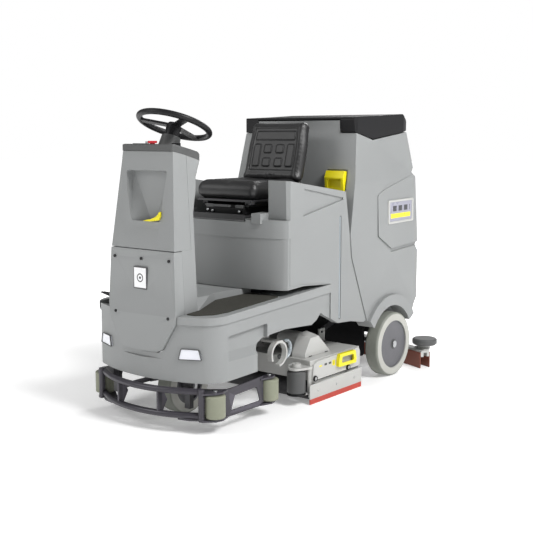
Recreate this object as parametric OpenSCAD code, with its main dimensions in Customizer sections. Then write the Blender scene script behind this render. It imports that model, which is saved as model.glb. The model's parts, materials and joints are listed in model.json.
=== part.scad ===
// Ride-on floor scrubber with a cylindrical brush deck, a debris drawer and a rear squeegee.
// The machine drives towards -Y, the driver's left is +X and the floor is z = 0.

/* [Overall] */
// Half width of the platform and of the water tanks
half_w = 375; // [374:1:376]
// Plan radius of the bumper tubes' centre line
bumper_r = 539; // [538:1:540]
// Height of the floor plate above the ground at y = -850
floor_z = 500; // [498:1:502]

/* [Wheels] */
// Radius of a rear wheel
rear_r = 168.6; // [167:0.2:169]
// Width of a rear tyre
rear_w = 76.5; // [70:0.5:78]
// Radius of the front drive wheel
drive_r = 130; // [128:1:131]
// Radius of a bumper roller
roller_r = 44; // [40:1:45]

/* [Steering] */
// Outer radius of the steering wheel
wheel_r = 171; // [165:1:175]
// Tilt of the upper steering shaft towards the driver, in degrees
tilt = 21.3; // [21.2:0.1:21.4]
// Module of the steering gears
gear_mod = 4; // [4:1:4]
// Teeth on the steering pinion
pinion_n = 18; // [18:1:18]
// Teeth on the yoke gear
yoke_n = 54; // [54:1:54]

/* [Brush deck] */
// Radius of a cylindrical brush
brush_r = 52; // [50:1:52]
// Half length of a cylindrical brush
brush_l = 360; // [350:1:362]

/* [Rear squeegee] */
// Plan radius of the rear blade
blade_r = 1102; // [1101:1:1103]
// Angle from the middle of the squeegee to its end, in degrees
blade_a = 25.6; // [25:0.1:25.7]

/* [Fits] */
// Radial clearance of a running shaft
run = 0.05; // [0.02:0.01:0.09]
// Gap between neighbouring covers
gap = 0.6; // [0.4:0.1:1]

/* [Hidden] */

// Colours
grey = "#a5a7a7";
dark_grey = "#646665";
black = "#2b2b2b";
yellow = "#e8dd20";
steel = "#8a8d90";

// Wheel places: [y, z] of the rear axle and y of the steered wheel's turning axis
axle = [552, rear_r];
yoke_y = -626;
gear_gap = gear_mod * (pinion_n + yoke_n) / 2;
shaft_y = yoke_y - gear_gap;
// Where the steering wheel's hub is, and where its shaft meets the lower shaft's joint
wheel_hub = [0, -668, 1290.5];
joint_z = wheel_hub[2] - (wheel_hub[1] - shaft_y) / tan(tilt);
// Bumper roller centres in plan
front_roller = [342, -793];
side_roller = [344, -430];
deck_roller = [345, -223];
// Brush axes: [y, z]
front_brush = [-98, brush_r];
rear_brush = [12, brush_r];
// Deck arm ends: [y, z]
arm_top = [352, 292];
arm_low = [227, 257];
// Rear squeegee: centre of its arc, lift pivot [y, z] and swing pivot y
blade_y = 935 - blade_r;
arm_pivot = [700, 222];
swing_y = 842;
deflector = [430, 846];
lid_hinge = [778, 1296];

// Geometry helpers
function unit(v) = v / norm(v);
function fillet(p, q, s, r, n) =
  r <= 0 ? [q] :
  let (u = unit(p - q), v = unit(s - q), half = acos(u * v) / 2,
       c = q + unit(u + v) * r / sin(half), a = q + u * r / tan(half), b = q + v * r / tan(half),
       a0 = atan2(a[1] - c[1], a[0] - c[0]), a1 = atan2(b[1] - c[1], b[0] - c[0]),
       d = (a1 - a0 + 540) % 360 - 180)
  [for (i = [0:n]) c + r * [cos(a0 + d * i / n), sin(a0 + d * i / n)]];
function rounded(p, r, n = 4) =
  [for (i = [0:len(p) - 1])
    each fillet(p[(i + len(p) - 1) % len(p)], p[i], p[(i + 1) % len(p)], is_list(r) ? r[i] : r, n)];
function arc(c, r, a0, a1, n) = [for (i = [0:n]) let (a = a0 + (a1 - a0) * i / n) c + r * [cos(a), sin(a)]];
function flip(p) = [for (i = [len(p) - 1:-1:0]) [-p[i][0], p[i][1]]];
function both_sides(p) = concat(p, flip(p));

module in_plan(z0, z1, p) translate([0, 0, z0]) linear_extrude(z1 - z0) polygon(p);
module in_side(x0, x1, p) translate([x0, 0, 0]) rotate([90, 0, 90]) linear_extrude(x1 - x0) polygon(p);
module in_front(y0, y1, p) translate([0, y1, 0]) rotate([90, 0, 0]) linear_extrude(y1 - y0) polygon(p);
module rod_x(x0, x1, yz, r, f = 48) translate([x0, yz[0], yz[1]]) rotate([0, 90, 0])
  cylinder(h = x1 - x0, r = r, $fn = f);
module rod_y(y0, y1, xz, r, f = 48) translate([xz[0], y0, xz[1]]) rotate([-90, 0, 0])
  cylinder(h = y1 - y0, r = r, $fn = f);
module rod_z(z0, z1, xy, r, f = 48) translate([xy[0], xy[1], z0]) cylinder(h = z1 - z0, r = r, $fn = f);
module box(lo, hi) translate(lo) cube(hi - lo);
module twins() {
  children();
  mirror([1, 0, 0]) children();
}
module along_shaft() translate(wheel_hub) rotate([-tilt, 0, 0]) children();

// Frame and running gear
module chassis_frame() color(black) difference() {
  union() {
    twins() box([205, -800, 388], [235, 770, 428]);
    for (y = [-800, -60 - 25, 300, 740]) box([-205, y, 388], [205, y + 50, 400]);
    box([-205, axle[0] - 30, 388], [205, axle[0] + 30, 428]);
    in_plan(368, 388, [[-235, -820], [235, -820], [235, -520], [-235, -520]]);
    // Rear axle brackets
    twins() in_side(286, 300, [[axle[0] - 55, 428], [axle[0] - 22, 142], [axle[0] + 22, 142],
      [axle[0] + 55, 428]]);
    twins() box([235, axle[0] - 30, 388], [286, axle[0] + 30, 428]);
    // Bulkhead behind the axle
    box([-286, 600, 200], [286, 606, 388]);
    // Bumper carriers
    twins() box([205, -836, 388], [235, -800, 428]);
    twins() box([205, -836, 100], [235, -812, 388]);
    // Hangers of the deck arms
    twins() difference() {
      in_side(150, 160, [[arm_top[0] - 20, 388], [arm_top[0] - 16, 276], [arm_top[0] + 16, 276],
        [arm_top[0] + 20, 388]]);
      rod_x(149, 161, arm_top, 8 + run);
    }
    twins() box([150, 300, 380], [205, 372, 400]);
    // Ears that carry the squeegee arm
    twins() difference() {
      in_side(60, 70, [[arm_pivot[0] - 25, 388], [arm_pivot[0] - 18, 204], [arm_pivot[0] + 18, 204],
        [arm_pivot[0] + 25, 388]]);
      rod_x(59, 71, arm_pivot, 10 + run);
    }
    box([-205, arm_pivot[0] - 25, 380], [205, arm_pivot[0] + 25, 400]);
  }
  rod_z(360, 430, [0, yoke_y], 25 + run, 64);
  rod_z(360, 392, [0, shaft_y], 11 + run, 64);
  rod_z(392, 440, [0, shaft_y], 48, 64);
  rod_z(380, 410, [0, -60], 18, 48);
  twins() rod_x(280, 306, axle, 15, 48);
}

module rear_axle() color(steel) difference() {
  union() {
    rod_x(-418, 418, axle, 12, 48);
    rod_x(-300, 300, axle, 15, 48);
    twins() rod_x(412, 416, axle, 18, 32);
  }
}

// Bumper in front of the steered wheel
module bumper_arc(z, r) {
  half = asin(300 / bumper_r);
  translate([0, -935 + 14 + bumper_r, z]) rotate([0, 0, -90 - half])
    rotate_extrude(angle = 2 * half, $fn = 96) translate([bumper_r, 0]) circle(r = r, $fn = 24);
}
module bumper_frame() color("#3c3a41") difference() {
  union() {
    bumper_arc(185, 14);
    bumper_arc(80, 14);
    twins() {
      rod_z(66, 199, [308, -842], 14, 32);
      // Roller lugs
      for (z = [59, 175.5]) difference() {
        in_plan(z, z + 8, rounded([[296, -856], [322, -852], [362, -812], [372, -776], [356, -726],
          [340, -726], [318, -776]], [6, 6, 22, 22, 4, 4, 10]));
        rod_z(z - 1, z + 9, front_roller, 6, 32);
      }
      for (z = [59, 175.5]) difference() {
        in_plan(z, z + 8, rounded([[338, -500], [356, -500], [372, -440], [364, -404], [324, -404],
          [322, -440]], [2, 2, 14, 14, 14, 10]));
        rod_z(z - 1, z + 9, side_roller, 6, 32);
      }
      // Side plate with its window
      difference() {
        in_side(346, 352, [[-748, 60], [-480, 60], [-480, 192], [-748, 180]]);
        in_side(345, 353, rounded([[-701, 84], [-501, 84], [-526, 152], [-676, 146]], 6));
      }
      in_plan(168, 180, [[338, -740], [346, -740], [346, -490], [338, -490]]);
      // Arms to the frame
      in_plan(175.5, 183.5, [[235, -836], [235, -812], [346, -730], [346, -752], [300, -842], [260, -868],
        [205, -880], [205, -836]]);
      in_plan(59, 67, [[235, -836], [235, -812], [346, -730], [346, -752], [300, -842], [260, -868],
        [205, -880], [205, -836]]);
      // Gussets between the tubes
      in_side(116, 126, [[-916, 80], [-916, 185], [-890, 185], [-860, 130], [-890, 80]]);
    }
  }
  twins() box([204, -836, 60], [235, -811.7, 200]);
}

module roller_bolts() color(steel) twins() {
  for (p = [front_roller, side_roller]) {
    rod_z(57, 188, p, 5.95, 32);
    rod_z(184, 190, p, 10, 6);
    rod_z(52, 58.6, p, 10, 6);
  }
}
module bumper_roller(p) color("#969b82") translate([p[0], p[1], 0]) difference() {
  union() {
    translate([0, 0, 77]) cylinder(h = 90, r = roller_r, $fn = 72);
    translate([0, 0, 73]) cylinder(h = 4, r1 = roller_r - 4, r2 = roller_r, $fn = 72);
    translate([0, 0, 167]) cylinder(h = 4, r1 = roller_r, r2 = roller_r - 4, $fn = 72);
    translate([0, 0, 69]) cylinder(h = 106, r = 12, $fn = 32);
  }
  translate([0, 0, 60]) cylinder(h = 130, r = 6, $fn = 32);
}
module front_roller_left() bumper_roller(front_roller);
module front_roller_right() bumper_roller([-front_roller[0], front_roller[1]]);
module side_roller_left() bumper_roller(side_roller);
module side_roller_right() bumper_roller([-side_roller[0], side_roller[1]]);

// Platform: the front body and the floor that the driver stands on
function body_plan(d) = both_sides(concat(
  arc([0, -900 + 790], 790 - d, -90, -90 + 22.3, 8),
  arc([270, -740], 105 - d, -68, 0, 6), [[half_w - d, -560], [half_w - d, 400]]));
function side_low() = [[-930, 217], [-540, 227], [-540, 324], [-512, 351], [-455, 377], [-345, 384],
  [-230, 378], [-135, 372], [-94, 390], [-62, 419], [-28, 400], [13, 382]];
function panel_outline(d) = both_sides([[0, 334 + d], [96 - d, 338 + d], [128 - d, 352 + d],
  [196 - d, 470], [203 - d, 528], [190 - d, 772]]);
module platform_body() color(grey) {
  platform_shell();
  pedal_pin();
}
module platform_shell() difference() {
  union() {
    intersection() {
      in_plan(210, 520, body_plan(7));
      in_side(-400, 400, concat(side_low(), [[13, 508], [-930, 465]]));
    }
    intersection() {
      in_plan(440, 600, body_plan(0));
      in_side(-400, 400, [[-930, 465], [13, 508], [13, floor_z + 49], [-930, floor_z - 3]]);
    }
    // Tunnel between the column and the seat box
    intersection() {
      in_plan(floor_z, 554, both_sides([[205, -745], [125, -545], [160, -330]]));
      in_front(-745, -330, both_sides([[215, floor_z], [150, 554]]));
    }
  }
  // Underside hollow
  in_plan(200, 444, both_sides([[0, -870], [240, -845], [322, -765], [336, -700], [336, 30]]));
  // Seat of the service panel
  in_front(-960, -822, panel_outline(-3));
  in_front(-960, -884, panel_outline(-26));
  // Steering shaft and pinion
  rod_z(430, 600, [0, shaft_y], 48, 48);
  // Battery space under the seat box
  box([-200, -320, 400], [200, 20, 600]);
  // Side pockets with a sloping floor
  twins() intersection() {
    in_side(346, 380, rounded([[-735, 264], [-470, 292], [-470, 432], [-735, 416]], 8));
    in_front(-800, -400, [[346, 344], [346, 450], [380, 450], [380, 286]]);
  }
  // Headlight recesses
  twins() headlight_pocket();
  // Front slot
  in_front(-905, -893, rounded([[-24, 302], [24, 298], [28, 312], [-28, 316]], 4));
  // Pedal bay on the driver's right
  box([-342, -836, floor_z - 22], [-208, -690, 640]);
}
module pedal_pin() rod_x(-343, -207, heel, 4, 48);
// Headlamps sit square to the crowned front
lamp_at = [257.5, -857];
module at_lamp() translate([lamp_at[0], lamp_at[1], 0]) rotate([0, 0, 19]) children();
module headlight_pocket() at_lamp() {
  in_front(-30, 0, rounded([[-77, 290], [77, 298], [64, 382], [-52, 378]], 10));
  in_front(-30, 12, rounded([[-54, 318], [54, 321], [42, 366], [-42, 365]], 5));
}
module headlights() color("white") twins() at_lamp()
  in_front(2, 12, rounded([[-52, 320], [52, 323], [40, 364], [-40, 363]], 4));

module foot_mats() color("#34342c") intersection() {
  in_side(-400, 400, [[-930, floor_z - 3], [13, floor_z + 49], [13, floor_z + 53], [-930, floor_z + 1]]);
  difference() {
    twins() in_plan(490, 560, rounded([[214, -826], [262, -820], [318, -770], [336, -700], [336, -345],
      [164, -345], [129, -545], [188, -690], [210, -738]], [3, 30, 40, 30, 8, 6, 14, 8, 8]));
    box([-343, -837, 470], [-207, -689, 560]);
  }
}

// Steering column
// Half widths of the column behind its cover, and plan of the cover at its foot and top
function col_w(d) = both_sides([[0, 440], [196 - d, 440], [203 - d, 528], [190 - d, 774], [166 - d, 1190],
  [163 - d, 1240]]);
cover_back = -768;
function cover_plan(half_front, half_side, front, back = cover_back - gap) =
  both_sides([[half_front, front], [half_side, back]]);
module steering_column() color(grey) {
  shaft_bearings();
  column_shell();
}
module column_shell() difference() {
  intersection() {
    in_front(-826, -600, col_w(0));
    in_side(-210, 210, [[-826, 503.5], [-826, 774], [cover_back, 774],
      [cover_back, console_base(cover_back) - gap], [-686, console_base(-686) - gap], [-716, 1080],
      [-722, 1024], [-744, 931], [-746, 725], [-746, 508.4]]);
  }
  intersection() {
    in_front(-830, -600, col_w(8));
    in_side(-200, 200, [[-830, 480], [-830, 1230], [-694, 1230], [-698, 1148], [-724, 1080], [-730, 1024],
      [-752, 931], [-754, 725], [-754, 480]]);
  }
  along_shaft() cylinder(h = 400, r = 46, center = true, $fn = 48);
}
// Bearing brackets of both steering shafts, fixed across the column
module shaft_bearings() {
  difference() {
    box([-158, -792, 955], [158, -742, 970]);
    rod_z(950, 975, [0, shaft_y], 11 + run, 64);
  }
  along_shaft() difference() {
    translate([-142, -22, -158]) cube([284, 44, 14]);
    translate([0, 0, -160]) cylinder(h = 20, r = 10 + run, $fn = 64);
  }
}
module column_cover() color(grey) difference() {
  intersection() {
    hull() {
      in_plan(774, 775, cover_plan(190, 190, -872));
      in_plan(1239, 1240, cover_plan(145, 163, -826));
    }
    in_side(-210, 210, [[-890, 700], [-890, console_base(-890) - gap], [-760, console_base(-760) - gap],
      [-760, 700]]);
  }
  // Hollow behind the cover
  difference() {
    hull() {
      in_plan(766, 767, cover_plan(184, 184, -866, -760));
      in_plan(1249, 1250, cover_plan(138, 157, -818, -760));
    }
    // Walls of the storage bin
    in_front(-900, -796, rounded(both_sides([[96, 884], [132, 1122]]), 16, 3));
    // Thicker wall behind the bevelled surround
    in_front(-900, -838, both_sides([[108, 780], [172, 866], [172, 1150]]));
  }
  // Storage bin, a funnel that narrows to a groove at its foot
  hull() {
    in_front(-900, -846, rounded(both_sides([[88, 892], [126, 1110]]), 14, 3));
    in_front(-803, -802, both_sides([[12, 892], [112, 1102]]));
  }
  // Bevelled surround of the bin
  hull() {
    in_front(-900, -871, rounded(both_sides([[100, 794], [170, 880], [205, 1000], [210, 1300]]),
      [44, 60, 0, 0, 0, 0, 60, 44], 4));
    in_front(-849, -848, rounded(both_sides([[98, 862], [150, 1128], [160, 1300]]),
      [34, 0, 0, 0, 0, 34], 4));
  }
}
module service_panel() color(grey) difference() {
  intersection() {
    in_front(-910, -826 - gap, panel_outline(0));
    in_side(-210, 210, [[-893, 330], [-884, 500], [-875, 771], [-826, 771], [-826, 330]]);
  }
  intersection() {
    in_front(-900, -820, panel_outline(6));
    in_side(-210, 210, [[-886, 340], [-877, 500], [-868, 765], [-820, 765], [-820, 340]]);
  }
  for (p = screws) {
    rod_y(-900, -860, p, 3.2, 32);
    rod_y(-900, head_y(p), p, 7.2, 32);
  }
  in_front(-900, -879, badge_outline());
}
screws = [[-164, 733], [0, 733], [164, 733], [-160, 489], [160, 489]];
// Seat of a screw's head: the panel leans back above its lower screws
function head_y(p) = p[1] > 600 ? -876.5 : -881.5;
module panel_screws() color(black) for (p = screws) {
  rod_y(head_y(p) - 6, head_y(p), p, 6.5, 32);
  rod_y(head_y(p), -864, p, 3, 32);
}
module name_plates() color("#e8e8e8") {
  in_front(-885, -879, badge_outline());
  twins() in_side(plate_x, plate_x + 4, plate_outline());
}
plate_x = 375;
function badge_outline() = rounded([[-44, 602], [34, 600], [38, 698], [-42, 698]], 4);
function plate_outline() = rounded([[532, 808], [768, 812], [768, 920], [532, 916]], 6);

// Console on top of the column
function console_base(y) = 1197 - (y + 854) * 47 / 170;
module console() color("#3a3a3a") {
  console_case();
  // Boot round the steering shaft
  along_shaft() difference() {
    translate([0, 0, -122]) cylinder(h = 78, r1 = 50, r2 = 42, $fn = 64);
    translate([0, 0, -123]) cylinder(h = 80, r = 26, $fn = 64);
  }
}
module console_case() difference() {
  intersection() {
    in_side(-170, 170, rounded([[-837, console_base(-837)], [-684, console_base(-684)], [-684, 1176],
      [-694, 1187],
      [-822, console_top(-822)], [-837, console_top(-837) - 8]], [0, 0, 6, 10, 10, 6]));
    in_front(-860, -680, rounded(both_sides([[167, 1140], [165, 1196], [140, 1230]]),
      [0, 16, 14, 14, 16, 0]));
    in_plan(1100, 1240, rounded([[-150, -837], [150, -837], [168, -768], [168, -684], [-168, -684],
      [-168, -768]], [10, 10, 6, 4, 4, 6]));
  }
  in_side(-142, 142, [[-829, 1140], [-692, 1140], [-692, console_base(-684) + 8],
    [-829, console_base(-829) + 10]]);
  along_shaft() cylinder(h = 400, r = 34, center = true, $fn = 48);
  for (p = console_holes) rod_z(1140, 1260, [p[0], p[1]], p[2], 32);
  console_display();
}
// Console controls: [x, y, hole radius]
key_at = [-92, -740, 9];
knob_at = [88, -745, 10];
stop_at = [6, -806, 12];
console_holes = [key_at, knob_at, stop_at];
function console_top(y) = 1184 + (-686 - y) * 0.27;
module console_display() color("#101820") translate([-60, -796, console_top(-796)]) rotate([-15.2, 0, 0])
  translate([-42, -24, -3]) cube([84, 48, 6]);
module key_switch() color(steel) {
  rod_z(console_top(key_at[1]) - 24, console_top(key_at[1]) + 10, key_at, key_at[2] - 0.4, 32);
  translate([key_at[0] - 11, key_at[1] - 1.5, console_top(key_at[1]) + 10]) cube([22, 3, 22]);
}
module program_knob() color(black) {
  rod_z(console_top(knob_at[1]) - 24, console_top(knob_at[1]) + 6, knob_at, knob_at[2] - 0.4, 32);
  difference() {
    rod_z(console_top(knob_at[1]) + 6, console_top(knob_at[1]) + 24, knob_at, 19, 48);
    for (a = [0:30:330]) translate([knob_at[0], knob_at[1], 0]) rotate([0, 0, a])
      rod_z(console_top(knob_at[1]) + 9, console_top(knob_at[1]) + 30, [20, 0], 3, 16);
  }
}
module emergency_button() color("#c0202a") {
  rod_z(console_top(stop_at[1]) - 18, console_top(stop_at[1]) + 7, stop_at, stop_at[2] - 0.4, 32);
  rod_z(console_top(stop_at[1]) + 7, console_top(stop_at[1]) + 17, stop_at, 20, 48);
}

// Steering
function gear_outline(n, r0) = let (p = 360 / n, m = gear_mod, rp = m * n / 2)
  [for (i = [0:n - 1]) each [for (q = [[-0.30, -1.15], [-0.13, 0.85], [0.13, 0.85], [0.30, -1.15]])
    (rp + q[1] * m) * [cos((i + q[0] + r0) * p), sin((i + q[0] + r0) * p)]]];
module drive_yoke() color(steel) difference() {
  union() {
    translate([0, yoke_y, 396]) linear_extrude(12) polygon(gear_outline(yoke_n, 0.5));
    rod_z(300, 414, [0, yoke_y], 25, 64);
    rod_z(356, 367.6, [0, yoke_y], 40, 48);
    rod_z(388.4, 396, [0, yoke_y], 40, 48);
    in_plan(300, 356, rounded([[-62, yoke_y - 45], [62, yoke_y - 45], [62, yoke_y + 45],
      [-62, yoke_y + 45]], 12));
    twins() in_side(48, 62, rounded([[yoke_y - 40, 310], [yoke_y - 26, 104], [yoke_y + 26, 104],
      [yoke_y + 40, 310]], [0, 24, 24, 0]));
    // Drive motor on the side of the fork
    rod_x(62, 150, [yoke_y, drive_r + 84], 46, 64);
    rod_x(150, 158, [yoke_y, drive_r + 84], 38, 48);
  }
  rod_x(-70, 70, [yoke_y, drive_r], 12 + run, 64);
}
module drive_wheel() color(black) {
  rod_x(-61, 61, [yoke_y, drive_r], 12, 64);
  difference() {
    rod_x(-40, 40, [yoke_y, drive_r], 88, 72);
    rod_x(-41, 41, [yoke_y, drive_r], 12, 64);
    twins() difference() {
      rod_x(18, 41, [yoke_y, drive_r], 76, 64);
      rod_x(17, 41, [yoke_y, drive_r], 34, 48);
    }
  }
  difference() {
    translate([0, yoke_y, drive_r]) rotate([0, 90, 0]) rotate_extrude($fn = 96)
      polygon(rounded([[88, -40], [drive_r, -40], [drive_r, 40], [88, 40]], [0, 9, 9, 0]));
  }
}
module steering_lower_shaft() color(steel) {
  rod_z(371, joint_z - 10, [0, shaft_y], 11, 64);
  difference() {
    translate([0, shaft_y, 396]) linear_extrude(12) polygon(gear_outline(pinion_n, 0));
    rod_z(390, 410, [0, shaft_y], 11, 64);
  }
  translate([0, shaft_y, joint_z]) sphere(r = 17, $fn = 48);
}
module steering_upper_shaft() color(steel) {
  len = (wheel_hub[2] - joint_z) / cos(tilt);
  along_shaft() {
    translate([0, 0, -len + 12]) difference() {
      union() {
        cylinder(h = 22, r = 22, $fn = 64);
        cylinder(h = len - 12, r = 10, $fn = 64);
      }
      translate([0, 0, -12]) sphere(r = 17.4, $fn = 48);
    }
  }
}
rim_r = 13.5;
module steering_wheel() color(black) along_shaft() {
  difference() {
    union() {
      translate([0, 0, -40]) cylinder(h = 46, r1 = 30, r2 = 34, $fn = 48);
      translate([0, 0, 6]) cylinder(h = 12, r1 = 34, r2 = 26, $fn = 48);
    }
    translate([0, 0, -41]) cylinder(h = 41, r = 10, $fn = 64);
  }
  translate([0, 0, 12]) rotate_extrude($fn = 96) translate([wheel_r - rim_r, 0])
    circle(r = rim_r, $fn = 32);
  for (a = [90, 210, 330]) rotate([0, 0, a]) difference() {
    translate([0, 0, 0]) rotate([90, 0, 90]) linear_extrude(wheel_r - 22)
      polygon([[-18, 2], [18, 2], [12, 14], [-12, 14]]);
    translate([0, 0, -1]) cylinder(h = 30, r = 25, $fn = 48);
  }
}

// Rear wheels
module rear_wheel() {
  in0 = 410.6 - rear_w;
  difference() {
    translate([in0, axle[0], axle[1]]) rotate([0, 90, 0]) rotate_extrude($fn = 128)
      polygon(rounded([[112, 2], [rear_r, 0], [rear_r, rear_w], [124.5, rear_w], [124.5, rear_w - 8],
        [112, rear_w - 8]], [0, 12, 12, 0, 0, 0]));
  }
  difference() {
    translate([in0, axle[0], axle[1]]) rotate([0, 90, 0]) rotate_extrude($fn = 96)
      polygon([[12 + run, 0], [40, 0], [40, 20], [112, 20], [112, rear_w - 8], [30, rear_w - 4],
        [12 + run, rear_w - 4]]);
    for (a = [0:60:300]) translate([0, axle[0], axle[1]]) rotate([a, 0, 0]) rod_x(in0 - 1, in0 + 45,
      [80, 0], 16, 24);
  }
}
module rear_wheel_left() color("#bab9b4") rear_wheel();
module rear_wheel_right() color("#bab9b4") mirror([1, 0, 0]) rear_wheel();

// Fresh water tank: seat box and side pods in one moulding
function seat_plan(d) = both_sides(concat(arc([0, -400 + 1172], 1172 - d, -90, -90 + 17.6, 6),
  [[half_w - d, -325], [half_w - d, 400]]));
module fresh_water_tank() color(grey) difference() {
  union() {
    intersection() {
      in_plan(540, 890, seat_plan(3));
      in_side(-400, 400, [[-420, 556], [-200, 566], [13, 549], [13, 382], [75, 350], [190, 342],
        [301, 320], [329, 326],
        [186, 660], [172, 774], [150, 880], [-420, 874]]);
    }
    twins() intersection() {
      in_side(258, half_w, [[-320, 600], [-325, 1055], [133, 988], [172, 774], [186, 660], [329, 326],
        [301, 320], [190, 342],
        [75, 350], [13, 382], [13, 549], [-4, 555], [-225, 580], [-320, 580]]);
      in_plan(300, 1100, [[250, 400], [250, -325], [358, -325], [half_w, -312], [half_w, 400]]);
    }
    in_side(-258, 258, [[60, 860], [60, 930], [140, 930], [152, 874]]);
    twins() in_side(205, 258, [[-384, 860], [-384, 905], [-300, 908], [-300, 860]]);
    // Shallow crease band round the top of the seat box
    intersection() {
      in_plan(600, 890, seat_plan(0));
      in_side(-400, 400, [[-420, 792], [-200, 800], [-200, 880], [-420, 874]]);
    }
  }
  // Battery bay and deck space
  box([-240, -330, 300], [240, 135, 845]);
  box([-338, -300, 300], [338, 320, 545]);
  // Gauge slot
  twins() in_side(367, 380, rounded([[80, 366], [98, 366], [98, 874], [80, 874]], 8.9, 6));
  // Facet at the upper front of each pod
  twins() in_side(367, 380, [[-205, 1016], [110, 960], [112, 950], [-212, 890]]);
  // Seat mount recess
  box([-160, -420, 866], [176, -380, 900]);
}
module level_tube() color("#c8d4dc") twins() {
  rod_z(376, 866, [371.5, 89], 4, 24);
  rod_z(372, 382, [371.5, 89], 4.4, 24);
  rod_z(860, 870, [371.5, 89], 4.4, 24);
}
module battery_pack() color("#30343a") {
  difference() {
    box([-190, -300, 428], [190, 120, 438]);
    rod_z(420, 440, [0, -60], 22, 48);
  }
  for (x = [-185, 5], y = [-290, -80]) {
    box([x, y, 438], [x + 180, y + 190, 710]);
    for (k = [40, 140]) rod_z(710, 728, [x + k, y + 30], 9, 24);
  }
  for (y = [-255, -45]) box([-146, y - 8, 728], [146, y + 8, 733]);
}
module drive_controller() color("#505458") {
  box([-90, -812, 560], [90, -793, 700]);
  for (i = [0:8]) box([-84 + i * 20, -822, 565], [-78 + i * 20, -812, 695]);
}

// Seat
// Front edge of the cushion, height of its pan and of its top
seat_y = -346;
pan_z = 950;
seat_top = 1040;
module seat_mount() color(black) {
  box([-150, -372, 880.5], [150, 10, 890]);
  // Apron plate over the front of the seat box
  box([-152, -391, 867], [168, -384, 898]);
  box([-120, -385, 884], [120, -371, 890]);
  // Bellows of the suspension
  for (i = [0:2]) box([-122 + i * 4, -320 + i * 4, 890 + i * 14], [122 - i * 4, -30 - i * 4, 899 + i * 14]);
  box([-104, -300, 890], [104, -50, 932]);
  // Slide rails
  box([-136, -300, 926], [136, -50, 930]);
  twins() box([124, -318, 926], [136, -20, 936]);
}
module seat_pan() color(black) {
  twins() difference() {
    box([116, -320, 936.5], [144, -10, pan_z]);
    box([123.5, -321, 930], [136.5, -9, 942]);
  }
  box([-168, seat_y + 12, pan_z], [168, 60, pan_z + 10]);
  // Back plate
  in_side(-140, 140, [[46, pan_z], [62, pan_z], [88, 1040], [156, 1296], [144, 1298], [72, 1040]]);
  // Slide lever
  box([144, -326, 940], [160, -312, 948]);
  rod_y(-350, -312, [166, 944], 6, 24);
}
module seat_cushion() color(black) intersection() {
  in_plan(950, 1080, rounded([[-194, seat_y], [194, seat_y], [188, 40], [-188, 40]], 46, 5));
  in_side(-200, 200, rounded([[seat_y, pan_z + 10], [42, pan_z + 10], [42, seat_top - 6], [-40, seat_top],
    [-250, seat_top - 2], [seat_y, seat_top - 26]],
    [10, 0, 6, 20, 30, 24]));
}
module seat_backrest() color(black) intersection() {
  in_side(-200, 200, rounded([[-16, 1041], [68, 1041], [140, 1304], [124, 1332], [96, 1334], [76, 1316],
    [18, 1100]], [6, 4, 14, 10, 12, 16, 40]));
  in_front(-100, 200, rounded([[-190, 1030], [190, 1030], [189, 1120], [178, 1250], [160, 1336],
    [-160, 1336], [-178, 1250], [-189, 1120]],
    [16, 16, 60, 60, 40, 40, 60, 60], 6));
}

// Recovery tank
function tank_front() = [[258, 1269], [212, 1017], [173 + gap, 774], [187 + gap, 660], [330 + gap, 326]];
function tank_back() = [[740, 275], [782, 302], [807, 349], [833, 384], [833, 640], [812, 662], [831, 690],
  [805, 1040],
  [768, 1064], [787, 1087], [743, 1271]];
function tank_rows(d) = both_sides([[0, 250], [380 - d, 250], [380 - d, 700], [half_w - d, 1030],
  [350 - d, 1276]]);
module recovery_tank() color(grey) difference() {
  union() {
    intersection() {
      in_front(150, 850, tank_rows(0));
      in_side(-400, 400, concat([[372, 282]], [for (i = [4:-1:0]) tank_front()[i]], [[405, 1234]],
        [[743, 1275]], [for (i = [9:-1:0]) tank_back()[i]]));
    }
    // Raised middle of the tank's top, under the lid's thin front edge
    in_side(-256, 256, [[262, 1240], [246, 1331], [400, 1334], [400, 1200]]);
    // Wheel arch
    twins() intersection() {
      rod_x(300, 398, axle, 262, 128);
      in_side(290, 399, [[330.6, 326], [262, 470], [560, 500], [833, 420], [807, 349], [782, 302],
        [740, 275], [560, 240], [372, 282]]);
    }
    // Collar of the hose sockets at the back
    rod_y(800, 838, [-120, 560], 42, 48);
    rod_y(800, 838, [150, 480], 34, 48);
    // Hinge ears and pin of the lid
    twins() in_side(122, 136, [[756, 1200], [772, 1150], [790, 1290], [788, 1304], [770, 1306],
      [768, 1290]]);
    rod_x(-136, 136, lid_hinge, 6, 48);
  }
  // Wheel wells
  twins() rod_x(318, 420, axle, 205, 128);
  // Underside bay
  box([-304, 100, 240], [304, 792, 440]);
  box([-304, 100, 240], [304, 900, 330]);
  // Water space, open under the lid
  in_side(-330, 330, [[262, 680], [310, 470], [790, 470], [785, 1020], [740, 1090], [716, 1300],
    [420, 1300], [420, 1200], [280, 1180], [262, 1010]]);
  in_front(262, 420, [[-230, 1100], [230, 1100], [230, 1360], [-230, 1360]]);
  // Side panel groove
  twins() difference() {
    in_side(372, 390, rounded(side_panel(0), 14));
    in_side(364, 391, rounded(side_panel(18), 12));
  }
  // Latch recess
  in_side(200, 324, [[180, 975], [222, 975], [236, 1090], [180, 1090]]);
  // Hose sockets
  rod_y(770, 850, [-120, 560], 30, 64);
  rod_y(770, 850, [150, 480], 22, 64);
  // Seat of the name plate
  twins() in_side(plate_x, 390, plate_outline());
}
function side_panel(d) = [[411 + d, 950 + d * 0.2], [487 + d * 0.4, 1001 - d], [860, 1088 - d],
  [860, 672 + d], [558 + d * 0.3, 654 + d], [417 + d, 740 + d * 0.3]];
module tank_lid() color(black) {
  lid_shell();
  lid_knuckle();
}
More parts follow.
